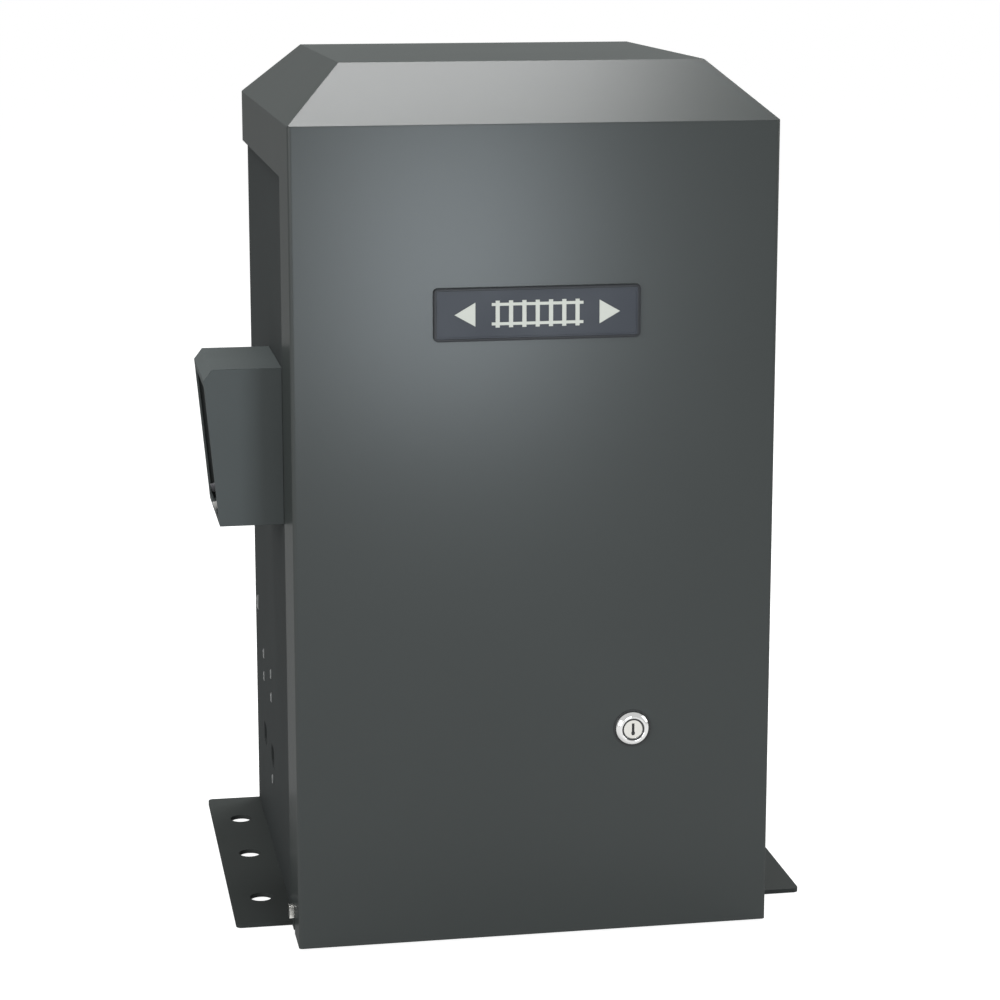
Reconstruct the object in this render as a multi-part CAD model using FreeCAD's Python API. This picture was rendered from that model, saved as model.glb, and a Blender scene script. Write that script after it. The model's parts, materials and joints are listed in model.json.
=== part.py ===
"""Sliding gate motor: a chain-drive gate operator in a lift-off sheet-steel cover.

Frame: millimetres, +Z up, the cover's front faces -Y. The origin is the centre of the four
corner anchor holes, on the underside of the base plate.
"""
import FreeCAD, Part
import math
import os

V = FreeCAD.Vector
X_AXIS, Y_AXIS, Z_AXIS = V(1, 0, 0), V(0, 1, 0), V(0, 0, 1)

# ---------------------------------------------------------------- driving dimensions
# Cover: front panel, side returns, hipped roof and skirt, folded from one gauge of sheet.
COVER_WIDTH = 330.0
COVER_DEPTH = 349.0
COVER_EDGE_Z = 563.0        # top edge of the front panel
COVER_BOTTOM_Z = 1.0
COVER_SHEET = 1.5
COVER_BEND = 2.5            # outer radius of its folded edges
COVER_REACH = 49.0          # how far the front panel stands ahead of the base plate
ROOF_RISE = 38.0
ROOF_SIDE_INSET = 40.0
ROOF_FRONT_INSET = 52.0
ROOF_BACK_INSET = 57.0
SKIRT_DEPTH = 37.5
RETURN_DEPTH = 57.0
FRONT_HEM = 12.0
COVER_GAP = 0.5             # cover's inside to the side walls
COVER_SEAT_GAP = 0.3        # roof's underside to the top corners of the side walls

# Base plate and its anchor holes.
BASE_WIDTH = 408.0
BASE_DEPTH = 276.0
BASE_SHEET = 3.0
ANCHOR_SPACING_X = 364.0
ANCHOR_SPACING_Y = 174.0
ANCHOR_MIDDLE_Y = 7.0
ANCHOR_HOLE_R = 8.0
CONDUIT_OPENING = (-10.0, 80.0, -124.0, -44.0)   # x from, x to, y from, y to
CONDUIT_CORNER_R = 12.0

# Side and rear walls.
WALL_SHEET = 2.0
WALL_FLANGE = 14.0
WALL_LEAD = 27.0            # side walls stand this far ahead of the base plate
BEND_R = 2.0                # inner radius of the folds in the chassis sheets
CHAIN_Z = 76.0
CHAIN_WINDOW_Y = (13.0, 71.0)
CHAIN_WINDOW_WIDTH = 20.0
CHAIN_WINDOW_HEIGHT = 16.0
CHAIN_WINDOW_CORNER_R = 3.0
REAR_WALL_FLANGE = 35.0
REAR_SCREW_Z = 170.0
VENT_COUNT = 9
VENT_LENGTH = 30.0
VENT_WIDTH = 5.0
VENT_PITCH = 29.0
VENT_DROP = 12.0            # from the skirt's lower edge up to the vents

# Cover studs, which the slots in the cover's returns drop over.
STUD_Y = -154.0
STUD_Z = 16.5
STUD_SHANK_R = 3.0
STUD_HEAD_R = 5.0
STUD_HEAD = 3.2

# Drive: output shaft, worm reducer, belt and motor.
OUTPUT_Z = 150.0
OUTPUT_SHAFT_R = 12.5
WORM_MODULE = 4.0
WHEEL_TEETH = 20
WORM_PITCH_R = 16.0
WHEEL_WIDTH = 18.0
WORM_HALF_LENGTH = 30.0
WORM_SHAFT_R = 7.5
MESH_THINNING = 0.35        # taken off each flank of worm and wheel
WHEEL_Y = -12.0             # plane of the worm's axis and the middle of the wheel
DRIVE_PLATE_Y = 36.0        # front face of the plate that carries the reducer
DRIVE_PLATE_SHEET = 4.0
DRIVE_PLATE_HALF_WIDTH = 96.0
HOUSING_WALL = 8.0
BELT_X = 119.0
BELT_CENTRES = 140.0        # worm shaft to motor shaft
DRIVEN_PULLEY_R = 60.0
MOTOR_PULLEY_R = 32.0
PULLEY_WIDTH = 20.0
BELT_TOP_WIDTH = 13.0
BELT_THICKNESS = 8.0
GROOVE_HALF_ANGLE = math.radians(18.0)
RUN_GAP = 0.05              # radial clearance of a shaft in its bore
BELT_GAP = 0.3

MOTOR_R = 60.0
MOTOR_STATOR_X = (-76.0, 64.0)
MOTOR_BELL = 20.0
MOTOR_SHAFT_R = 8.0
MOTOR_SHELL = 3.0
ROTOR_R = 33.5
WINDING_SPACE = 22.0        # room for the end windings at each end of the stator
MOTOR_FOOT = 20.0           # from the top of the shelf up to the stator
MOTOR_FOOT_SHEET = 4.0
MOTOR_FOOT_X = (-58.0, 46.0)
SHELF_SHEET = 4.0
SHELF_X = (-118.0, 98.0)
SHELF_FRONT = -86.0
SHELF_SKIRT = 14.0
POST_INSET = (17.0, 12.0, 14.0)   # from the shelf's left, right and front edges to the posts
POST_FLATS = 19.0
POST_SPIGOT_R = 4.0

# Chain sprocket, for roller chain of 12.7 mm pitch, and the idler wheels.
CHAIN_PITCH = 12.7
CHAIN_ROLLER_R = 3.97
SPROCKET_TEETH = 18
SPROCKET_WIDTH = 7.2
IDLER_RIM_R = 20.0
IDLER_FLANGE_R = 28.0
IDLER_WIDTH = 16.0
IDLER_X = 118.0
IDLER_AXLE_R = 5.0
CHAIN_HALF_HEIGHT = 6.0
IDLER_BRACKET_Y = (2.0, 88.0)
IDLER_BRACKET_SHEET = 3.0
BRACKET_SCREW_Z = (122.0, 140.0)

# Limit-switch drive: a spur pair, a screw and two notched nuts.
LIMIT_MODULE = 1.5
LIMIT_PINION_TEETH = 24
LIMIT_GEAR_TEETH = 36
LIMIT_GEAR_WIDTH = 7.0
LIMIT_SCREW_R = 6.0
LIMIT_NUT_R = 14.0
LIMIT_NUT_WIDTH = 8.0
LIMIT_NUT_Y = (-119.0, -105.0)
LIMIT_NUT_TRAVEL = 8.0
LIMIT_NOTCHES = 8
LIMIT_BRACKET_SHEET = 2.0
LIMIT_EARS_Y = (-142.0, -84.0)                    # front faces of the bracket's two ears
SWITCH_BODY = (20.0, 6.0, 12.0)                   # x, y, z
LEVER_THICKNESS = 0.8

# Side box with its outlet and switches.
BOX_Y = (-107.0, -12.0)
BOX_TOP_Z = 392.0
BOX_BOTTOM_Z = 282.0
BOX_TOP_REACH = 48.0        # from the side wall to the start of the top's chamfer
BOX_CORNER_REACH = 53.8
BOX_CORNER_DROP = 7.5
BOX_BOTTOM_REACH = 44.5
BOX_SHEET = 1.5
BOX_LIP = 5.0
FACE_RECESS = 9.0           # from the mouth back to the panel
TOGGLE_Y = -85.0
TOGGLE_Z = (309.0, 296.0)
TOGGLE_TILT = 12.0
TOGGLE_LENGTH = 14.5        # from the lever's pin to its tip
OUTLET_Z = 345.0

# Cam lock.
LOCK_X = 67.5
LOCK_Z = 146.5
LOCK_BEZEL_R = 12.25
LOCK_BARREL_R = 9.5
LOCK_BARREL_LENGTH = 22.0
LOCK_PLUG_R = 6.5
CAM_LENGTH = 30.0
CAM_WIDTH = 14.0
CAM_SHEET = 2.5

# Name plate.
PLATE_Z = 437.7
PLATE_WIDTH = 139.6
PLATE_HEIGHT = 35.3
PLATE_THICKNESS = 1.8

# Control gear.
CONTROL_SHELF_Z = 425.0
BOARD_WIDTH = 186.0
BOARD_HEIGHT = 96.0
BOARD_SHEET = 1.6
BOARD_X = -46.0

# ---------------------------------------------------------------- sizes that follow
WALL_OUT = COVER_WIDTH / 2 - COVER_SHEET - COVER_GAP
WALL_IN = WALL_OUT - WALL_SHEET
BASE_FRONT, BASE_BACK = -BASE_DEPTH / 2, BASE_DEPTH / 2
WALL_FRONT = BASE_FRONT - WALL_LEAD
COVER_FRONT = BASE_FRONT - COVER_REACH
COVER_BACK = COVER_FRONT + COVER_DEPTH
SKIRT_Z = COVER_EDGE_Z - SKIRT_DEPTH
ROOF_SLOPE = math.atan2(ROOF_RISE, ROOF_SIDE_INSET)
ROOF_UNDER_WALL = (COVER_EDGE_Z - COVER_SHEET / math.cos(ROOF_SLOPE)
                   + (COVER_WIDTH / 2 - WALL_OUT) * math.tan(ROOF_SLOPE))
WALL_TOP_Z = ROOF_UNDER_WALL - COVER_SEAT_GAP
WORM_CENTRES = WORM_PITCH_R + WORM_MODULE * WHEEL_TEETH / 2
WORM_Z = OUTPUT_Z + WORM_CENTRES
WHEEL_TIP_R = WORM_MODULE * (WHEEL_TEETH / 2 + 1)
CAVITY_R = WHEEL_TIP_R + 4
DRUM_R = CAVITY_R + HOUSING_WALL
TUNNEL_BORE_R = WORM_PITCH_R + WORM_MODULE + 1.5
TUNNEL_R = TUNNEL_BORE_R + 5.5
MOTOR_Z = WORM_Z + BELT_CENTRES
MOTOR_SHELF_Z = MOTOR_Z - MOTOR_R - MOTOR_FOOT - SHELF_SHEET
DRIVE_PLATE_TOP_Z = MOTOR_SHELF_Z
SPROCKET_R = CHAIN_PITCH / 2 / math.sin(math.pi / SPROCKET_TEETH)
IDLER_Z = CHAIN_Z + IDLER_RIM_R + CHAIN_HALF_HEIGHT
CHAIN_Y = CHAIN_WINDOW_Y[1]
LIMIT_CENTRES = LIMIT_MODULE * (LIMIT_PINION_TEETH + LIMIT_GEAR_TEETH) / 2
LIMIT_X = -LIMIT_CENTRES
BOX_MID_Y = sum(BOX_Y) / 2


# ---------------------------------------------------------------- helpers
def box(x, y, z):
    """A box from three (low, high) pairs."""
    return Part.makeBox(x[1] - x[0], y[1] - y[0], z[1] - z[0], V(x[0], y[0], z[0]))


def rod(radius, start, end):
    """A round rod between two points."""
    start, end = V(*start), V(*end)
    return Part.makeCylinder(radius, (end - start).Length, start, end - start)


def ring(outer, inner, start, end):
    return rod(outer, start, end).cut(rod(inner, start, end))


def prism(points, sweep):
    """A flat polygon of 3-D points, pushed along sweep."""
    corners = [V(*p) for p in points]
    return Part.Face(Part.makePolygon(corners + corners[:1])).extrude(V(*sweep))


def turned(profile, origin, axis):
    """A full turn of (along, radius) points about axis, which starts at origin."""
    corners = [V(radius, 0, along) for along, radius in profile]
    solid = Part.Face(Part.makePolygon(corners + corners[:1])).revolve(V(), Z_AXIS, 360)
    return placed(solid, origin, axis)


def placed(shape, origin, axis):
    """Moves a shape made about +Z so that +Z points along axis from origin."""
    shape = shape.copy()
    move = FreeCAD.Placement(V(*origin), FreeCAD.Rotation(Z_AXIS, axis))
    shape.Placement = move.multiply(shape.Placement)
    return shape


def fused(shapes):
    shapes = list(shapes)
    whole = shapes[0].multiFuse(shapes[1:]) if len(shapes) > 1 else shapes[0]
    return whole.removeSplitter()


def group(shapes):
    """Separate solids that share one node."""
    return Part.makeCompound([solid for shape in shapes for solid in shape.Solids])


def mirrored(shape):
    """The same shape on the other side of the middle plane."""
    return shape.mirror(V(), X_AXIS)


def rounded(shape, radius, chosen):
    """Fillets the edges whose centre and direction satisfy chosen(edge)."""
    edges = [edge for edge in shape.Edges if chosen(edge)]
    return shape.makeFillet(radius, edges) if edges else shape


def runs_along(edge, axis):
    if not isinstance(edge.Curve, Part.Line):
        return False
    return abs(abs(edge.Curve.Direction.dot(axis)) - 1) < 1e-6


def slot_prism(width, height, radius, centre, sweep):
    """A rectangle with round corners in the plane across X (width along Y), pushed along X."""
    x, y, z = centre
    block = box((x, x + sweep), (y - width / 2, y + width / 2), (z - height / 2, z + height / 2))
    return rounded(block, radius, lambda edge: runs_along(edge, X_AXIS))


def hexagon(across_flats, start, end):
    """A hexagonal bar between two points."""
    start, end = V(*start), V(*end)
    corner = across_flats / math.sqrt(3)
    points = [V(corner * math.cos(a), corner * math.sin(a), 0)
              for a in (math.radians(60 * k) for k in range(6))]
    bar = Part.Face(Part.makePolygon(points + points[:1])).extrude(V(0, 0, (end - start).Length))
    return placed(bar, start, end - start)


def folded_sheet(path, sheet, sweep, bend=BEND_R):
    """Sheet metal along an open path of 3-D points, thickened to its left and pushed along sweep.

    Left is the side that sweep x direction points to. Every corner of the path is a fold.
    """
    points, sweep = [V(*p) for p in path], V(*sweep)
    lift = V(sweep).normalize()
    runs = [(b - a).normalize() for a, b in zip(points, points[1:])]
    normals = [lift.cross(run) for run in runs]
    offsets = [points[0] + normals[0] * sheet]
    for point, before, after in zip(points[1:-1], normals, normals[1:]):
        offsets.append(point + (before + after) * (sheet / (1 + before.dot(after))))
    offsets.append(points[-1] + normals[-1] * sheet)
    outline = points + offsets[::-1]
    solid = Part.Face(Part.makePolygon(outline + outline[:1])).extrude(sweep)
    for k in range(1, len(points) - 1):
        left_turn = lift.dot(runs[k - 1].cross(runs[k])) > 0
        for corner, inner in ((offsets[k], left_turn), (points[k], not left_turn)):
            radius = bend if inner else bend + sheet
            middle = corner + sweep * 0.5
            solid = rounded(solid, radius, lambda edge: runs_along(edge, lift)
                            and edge.CenterOfMass.distanceToPoint(middle) < 1e-3)
    return solid


def involute(angle):
    return math.tan(angle) - angle


def gear_outline(module, teeth, thinning=0.0, addendum=1.0, dedendum=1.25, turn=0.0,
                 chords=2):
    """The wire of an involute spur gear in the XY plane, a tooth gap on the +X side of turn."""
    pitch_r, pressure = module * teeth / 2, math.radians(20)
    base_r = pitch_r * math.cos(pressure)
    root_r, tip_r = pitch_r - dedendum * module, pitch_r + addendum * module
    start_r = max(base_r, root_r)
    half = math.pi / 2 / teeth - thinning / pitch_r

    def flank_angle(radius):
        return half + involute(pressure) - involute(math.acos(min(1.0, base_r / radius)))

    flank = [(start_r + (tip_r - start_r) * k / chords) for k in range(chords + 1)]
    rise = [(radius, -flank_angle(radius)) for radius in flank]
    if start_r > root_r + 1e-6:
        rise.insert(0, (root_r, -flank_angle(start_r)))
    tooth = rise + [(radius, -angle) for radius, angle in reversed(rise)]
    points = []
    for k in range(teeth):
        middle = turn + (k + 0.5) * 2 * math.pi / teeth
        points += [V(radius * math.cos(middle + angle), radius * math.sin(middle + angle), 0)
                   for radius, angle in tooth]
    return Part.makePolygon(points + points[:1])


def sprocket_outline():
    """Roller-chain sprocket: seats of the roller's radius, straight flanks and blunt tips."""
    tip_r = SPROCKET_R + 0.3 * CHAIN_PITCH
    seat = math.radians(60)
    step = 2 * math.pi / SPROCKET_TEETH
    tip_half = 0.055

    def at(radius, angle):
        return V(radius * math.cos(angle), radius * math.sin(angle), 0)

    edges = []
    for tooth in range(SPROCKET_TEETH):
        angle = tooth * step
        centre = at(SPROCKET_R, angle)
        inward = centre * -1

        def seat_point(turn):
            turned_by = FreeCAD.Rotation(Z_AXIS, math.degrees(turn))
            return centre + turned_by.multVec(inward).normalize() * CHAIN_ROLLER_R

        first, bottom, last = seat_point(seat), seat_point(0), seat_point(-seat)
        tip_in = at(tip_r, angle + step / 2 - tip_half)
        tip_out = at(tip_r, angle + step / 2 + tip_half)
        next_first = FreeCAD.Rotation(Z_AXIS, math.degrees(step)).multVec(first)
        edges += [Part.Arc(first, bottom, last).toShape(), Part.makeLine(last, tip_in),
                  Part.makeLine(tip_in, tip_out), Part.makeLine(tip_out, next_first)]
    return Part.Wire(edges)


# ---------------------------------------------------------------- chassis
BACK, RIGHT = (0, 1, 0), (1, 0, 0)
FLANGE_TOP_Z = BASE_SHEET + WALL_SHEET
SHELF_TOP_Z = MOTOR_SHELF_Z + SHELF_SHEET
POST_XY = tuple((x, SHELF_FRONT + POST_INSET[2])
                for x in (SHELF_X[0] + POST_INSET[0], SHELF_X[1] - POST_INSET[1]))
HOUSING_FLANGE = 8.0
GEAR_COVER_Y = -49.0        # front face of the reducer cover's flange
DRUM_FRONT_Y = -41.0


def base_plate():
    plate = box((-BASE_WIDTH / 2, BASE_WIDTH / 2), (BASE_FRONT, BASE_BACK), (0, BASE_SHEET))
    plate = rounded(plate, 4.0, lambda edge: runs_along(edge, Z_AXIS))
    for x in (-ANCHOR_SPACING_X / 2, ANCHOR_SPACING_X / 2):
        for y in (-ANCHOR_SPACING_Y / 2, ANCHOR_MIDDLE_Y, ANCHOR_SPACING_Y / 2):
            plate = plate.cut(rod(ANCHOR_HOLE_R, (x, y, -1), (x, y, BASE_SHEET + 1)))
    x_from, x_to, y_from, y_to = CONDUIT_OPENING
    opening = box((x_from, x_to), (y_from, y_to), (-1, BASE_SHEET + 1))
    plate = plate.cut(rounded(opening, CONDUIT_CORNER_R, lambda edge: runs_along(edge, Z_AXIS)))
    for x, y in POST_XY:
        plate = plate.cut(rod(POST_SPIGOT_R + 0.1, (x, y, -1), (x, y, BASE_SHEET + 1)))
    return plate


def side_wall(right):
    """The right wall; the left one is its mirror image with the side box's holes."""
    x_in, x_out = WALL_IN, WALL_OUT
    flange_x = (x_out - WALL_FLANGE, x_out)
    wall = box((x_in, x_out), (WALL_FRONT, BASE_BACK), (BASE_SHEET, WALL_TOP_Z))
    front = box(flange_x, (WALL_FRONT, WALL_FRONT + WALL_SHEET), (BASE_SHEET, WALL_TOP_Z))
    foot = box(flange_x, (BASE_FRONT, BASE_BACK - REAR_WALL_FLANGE - 5),
               (BASE_SHEET, FLANGE_TOP_Z))
    wall = fused([wall, front, foot])
    wall = rounded(wall, BEND_R, lambda edge: runs_along(edge, Z_AXIS)
                   and abs(edge.CenterOfMass.x - x_out) < 0.01
                   and abs(edge.CenterOfMass.y - WALL_FRONT) < 0.01)
    for y in CHAIN_WINDOW_Y:
        wall = wall.cut(slot_prism(CHAIN_WINDOW_WIDTH, CHAIN_WINDOW_HEIGHT,
                                   CHAIN_WINDOW_CORNER_R, (x_in - 5, y, CHAIN_Z), 10))
    wall = wall.cut(rod(STUD_SHANK_R + 0.05, (x_in - 5, STUD_Y, STUD_Z), (x_out + 5, STUD_Y, STUD_Z)))
    if not right:
        wall = mirrored(wall)
        opening = (BOX_TOP_Z + BOX_BOTTOM_Z) / 2 - 4
        wall = wall.cut(slot_prism(56, 70, 6, (-x_out - 5, BOX_MID_Y, opening), 10))
    return wall


def rear_wall():
    half, back, sheet = WALL_IN - 0.3, BASE_BACK - 1, WALL_SHEET
    top = SKIRT_Z + 30
    path = [(-half, back - REAR_WALL_FLANGE, FLANGE_TOP_Z + 0.3), (-half, back, FLANGE_TOP_Z + 0.3),
            (half, back, FLANGE_TOP_Z + 0.3), (half, back - REAR_WALL_FLANGE, FLANGE_TOP_Z + 0.3)]
    web = folded_sheet(path[::-1], sheet, (0, 0, top - FLANGE_TOP_Z - 0.3))
    foot = box((-half + 6, half - 6), (back - 16, back), (BASE_SHEET, FLANGE_TOP_Z))
    link = box((-half + 6, half - 6), (back - sheet, back), (BASE_SHEET, FLANGE_TOP_Z + 1))
    wall = fused([web, foot, link])
    for k in range(VENT_COUNT):
        x = (k - (VENT_COUNT - 1) / 2) * VENT_PITCH
        for z in (SKIRT_Z - VENT_DROP - VENT_LENGTH, 300.0):
            vent = box((x - VENT_WIDTH / 2, x + VENT_WIDTH / 2), (back - 5, back + 5),
                       (z, z + VENT_LENGTH))
            wall = wall.cut(vent)
    return wall


def front_rail():
    """The rail between the side walls, with the ledge that the lock's cam turns under."""
    half, front = WALL_IN - 0.3, -155.0
    cam_top = LOCK_Z + CAM_WIDTH / 2
    low, high = cam_top + 0.7, cam_top + 38
    path = [(-half, front + 20, low), (-half, front, low), (half, front, low),
            (half, front + 20, low)]
    rail = folded_sheet(path, WALL_SHEET, (0, 0, high - low))
    ledge = box((LOCK_X + 16, LOCK_X + 38), (front - 13, front + 1), (low, low + WALL_SHEET))
    lip = box((LOCK_X + 16, LOCK_X + 38), (front - 13, front - 11), (low, low + 8))
    return fused([rail, ledge, lip])


def cover_studs():
    """The two studs that the slots in the cover's returns drop over."""
    start, seat = WALL_IN - 3.5, COVER_WIDTH / 2 + 0.3
    shank = rod(STUD_SHANK_R, (start, STUD_Y, STUD_Z), (seat, STUD_Y, STUD_Z))
    head = rod(STUD_HEAD_R, (seat, STUD_Y, STUD_Z), (seat + STUD_HEAD, STUD_Y, STUD_Z))
    stud = fused([shank, head])
    return group([stud, mirrored(stud)])


# ---------------------------------------------------------------- cover
def hipped(inset, bend):
    """Upright sides with bent corners under a hipped, flat-topped roof, moved inward by inset."""
    def section(low, high, low_run, high_run):
        edges = []
        for edge, run, way in ((low, low_run, 1), (high, high_run, -1)):
            slope = math.atan2(ROOF_RISE, run)
            eave = COVER_EDGE_Z + inset * math.tan(slope) - inset / math.cos(slope)
            rise = ROOF_RISE - inset + inset / math.cos(slope)
            edges.append([(edge + way * inset, COVER_BOTTOM_Z - 5 * inset),
                          (edge + way * inset, eave), (edge + way * rise / math.tan(slope),
                                                       COVER_EDGE_Z + ROOF_RISE - inset)])
        return edges[0] + edges[1][::-1]

    half = COVER_WIDTH / 2
    across = section(-half, half, ROOF_SIDE_INSET, ROOF_SIDE_INSET)
    along = section(COVER_FRONT, COVER_BACK, ROOF_FRONT_INSET, ROOF_BACK_INSET)
    front_to_back = prism([(x, COVER_FRONT - 5, z) for x, z in across], (0, COVER_DEPTH + 10, 0))
    side_to_side = prism([(-half - 5, y, z) for y, z in along], (COVER_WIDTH + 10, 0, 0))
    upright = box((inset - half, half - inset), (COVER_FRONT + inset, COVER_BACK - inset),
                  (-20, COVER_EDGE_Z + ROOF_RISE + 5))
    if bend > 0:
        upright = rounded(upright, bend, lambda edge: runs_along(edge, Z_AXIS))
    return upright.common(front_to_back).common(side_to_side)


def hood():
    shell = hipped(0.0, COVER_BEND).cut(hipped(COVER_SHEET, COVER_BEND - COVER_SHEET))
    half = COVER_WIDTH / 2
    return_end = COVER_FRONT + RETURN_DEPTH
    shell = shell.cut(box((-half - 5, half + 5), (return_end, COVER_BACK + 5), (-20, SKIRT_Z)))
    shell = shell.cut(box((-half - 5, half + 5), (BASE_FRONT - 1, return_end + 5),
                          (-20, BASE_SHEET + 0.5)))
    hem = box((-half + 1, half - 1), (COVER_FRONT + 0.5, COVER_FRONT + FRONT_HEM),
              (COVER_BOTTOM_Z, COVER_BOTTOM_Z + COVER_SHEET))
    shell = fused([shell, hem])
    slot_r = STUD_SHANK_R + 0.6
    for x in (-half - 5, half - 5):
        shell = shell.cut(rod(slot_r, (x, STUD_Y, STUD_Z), (x + 10, STUD_Y, STUD_Z)))
        shell = shell.cut(box((x, x + 10), (STUD_Y - slot_r, STUD_Y + slot_r), (-5, STUD_Z)))
    return shell.cut(rod(LOCK_BARREL_R + 0.1, (LOCK_X, COVER_FRONT - 1, LOCK_Z),
                         (LOCK_X, COVER_FRONT + 5, LOCK_Z)))


def plate_block(width, height, front, back, radius, centre_x=0.0, centre_z=PLATE_Z):
    block = box((centre_x - width / 2, centre_x + width / 2), (front, back),
                (centre_z - height / 2, centre_z + height / 2))
    return rounded(block, radius, lambda edge: runs_along(edge, Y_AXIS))


def name_plate():
    """A plate with a raised rim; its field is cut back for the motif."""
    front = COVER_FRONT - PLATE_THICKNESS
    plate = plate_block(PLATE_WIDTH, PLATE_HEIGHT, front, COVER_FRONT - 0.05, 4.0)
    field = plate_block(PLATE_WIDTH - 5, PLATE_HEIGHT - 5, front - 1, front + 0.5, 2.5)
    return plate.cut(field)


def plate_motif():
    """A plain sign: an upright-barred gate between two arrowheads."""
    front, back = COVER_FRONT - PLATE_THICKNESS + 0.1, COVER_FRONT - PLATE_THICKNESS + 0.45
    depth = (0, back - front, 0)
    bars = [box((x - 1.4, x + 1.4), (front, back), (PLATE_Z - 9, PLATE_Z + 9))
            for x in (9.0 * k for k in range(-3, 4))]
    rails = [box((-31, 31), (front, back), (PLATE_Z + z - 1, PLATE_Z + z + 1)) for z in (-6.5, 6.5)]
    arrows = [prism([(way * 56, front, PLATE_Z), (way * 42, front, PLATE_Z + 8),
                     (way * 42, front, PLATE_Z - 8)], depth) for way in (-1, 1)]
    return group([fused(bars + rails)] + arrows)


def lock_body():
    x, z, face = LOCK_X, LOCK_Z, COVER_FRONT
    bezel = turned([(0, 0), (0, LOCK_BEZEL_R), (1.2, LOCK_BEZEL_R), (2.2, LOCK_BEZEL_R - 1.0),
                    (2.2, LOCK_BEZEL_R - 2.6), (3.4, LOCK_BEZEL_R - 3.2), (3.4, 0)],
                   (x, face - 0.05, z), V(0, -1, 0))
    barrel = rod(LOCK_BARREL_R, (x, face - 1, z), (x, face + LOCK_BARREL_LENGTH, z))
    bore = rod(LOCK_PLUG_R + RUN_GAP, (x, face - 10, z), (x, face + 40, z))
    body = fused([bezel, barrel]).cut(bore)
    back = face + COVER_SHEET + 0.05
    nut = hexagon(26, (x, back, z), (x, back + 4, z)).cut(
        rod(LOCK_BARREL_R + 0.1, (x, back - 1, z), (x, back + 5, z)))
    return group([body, nut])


def lock_plug():
    x, z, face = LOCK_X, LOCK_Z, COVER_FRONT
    end = face + LOCK_BARREL_LENGTH + 1.0
    plug = rod(LOCK_PLUG_R, (x, face - 3.0, z), (x, end, z))
    tail = rod(3.5, (x, end - 1, z), (x, end + 6, z))
    keyway = box((x - 0.9, x + 0.9), (face - 4, face + 5), (z - 4.2, z + 4.2))
    return fused([plug, tail]).cut(keyway)


def lock_cam():
    x, z = LOCK_X, LOCK_Z
    front = COVER_FRONT + LOCK_BARREL_LENGTH + 1.05
    cam = box((x - CAM_WIDTH / 2, x + CAM_WIDTH / 2), (front, front + CAM_SHEET),
              (z - CAM_LENGTH, z + CAM_WIDTH / 2))
    cam = rounded(cam, 5.0, lambda edge: runs_along(edge, Y_AXIS))
    nut = hexagon(10, (x, front + CAM_SHEET - 0.1, z), (x, front + CAM_SHEET + 3, z))
    return fused([cam, nut]).cut(rod(3.55, (x, front - 1, z), (x, front + 20, z)))


# ---------------------------------------------------------------- reducer and output
def drive_plate():
    """The upright plate that carries the reducer, with a foot, a top flange and two gussets."""
    half, front = DRIVE_PLATE_HALF_WIDTH, DRIVE_PLATE_Y
    back, sheet, foot_y = front + DRIVE_PLATE_SHEET, DRIVE_PLATE_SHEET, front + 36
    web = box((-half, half), (front, back), (BASE_SHEET, DRIVE_PLATE_TOP_Z))
    foot = box((-half, half), (front, foot_y), (BASE_SHEET, BASE_SHEET + sheet))
    top = box((-half, half), (front - 28, back), (DRIVE_PLATE_TOP_Z - sheet, DRIVE_PLATE_TOP_Z))
    gussets = [prism([(x, back, BASE_SHEET + sheet), (x, foot_y, BASE_SHEET + sheet),
                      (x, back, 78)], (sheet, 0, 0)) for x in (-half, half - sheet)]
    plate = fused([web, foot, top] + gussets)
    plate = plate.cut(rod(20, (0, front - 1, OUTPUT_Z), (0, back + 1, OUTPUT_Z)))
    return plate


def gear_housing():
    """Drum for the wheel, crossed by the worm's tunnel, with a flange for the drive plate."""
    back, centre = DRIVE_PLATE_Y, (0, OUTPUT_Z)
    drum = rod(DRUM_R, (0, DRUM_FRONT_Y, OUTPUT_Z), (0, back, OUTPUT_Z))
    tunnel = rod(TUNNEL_R, (-DRUM_R, WHEEL_Y, WORM_Z), (DRUM_R, WHEEL_Y, WORM_Z))
    flange = box((-67, 67), (back - HOUSING_FLANGE, back), (centre[1] - 63, centre[1] + 63))
    flange = rounded(flange, 8.0, lambda edge: runs_along(edge, Y_AXIS))
    ribs = [box((x - 3, x + 3), (DRUM_FRONT_Y + 12, back - 1), (centre[1] - 62, centre[1] - 50))
            for x in (-16, 16)]
    body = fused([drum, tunnel, flange] + ribs)
    body = body.cut(rod(CAVITY_R, (0, DRUM_FRONT_Y - 1, OUTPUT_Z), (0, 10, OUTPUT_Z)))
    body = body.cut(rod(20, (0, 5, OUTPUT_Z), (0, back + 1, OUTPUT_Z)))
    body = body.cut(rod(26, (0, 19, OUTPUT_Z), (0, back + 1, OUTPUT_Z)))
    body = body.cut(rod(TUNNEL_BORE_R, (-DRUM_R - 1, WHEEL_Y, WORM_Z),
                        (DRUM_R + 1, WHEEL_Y, WORM_Z)))
    return body


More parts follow.
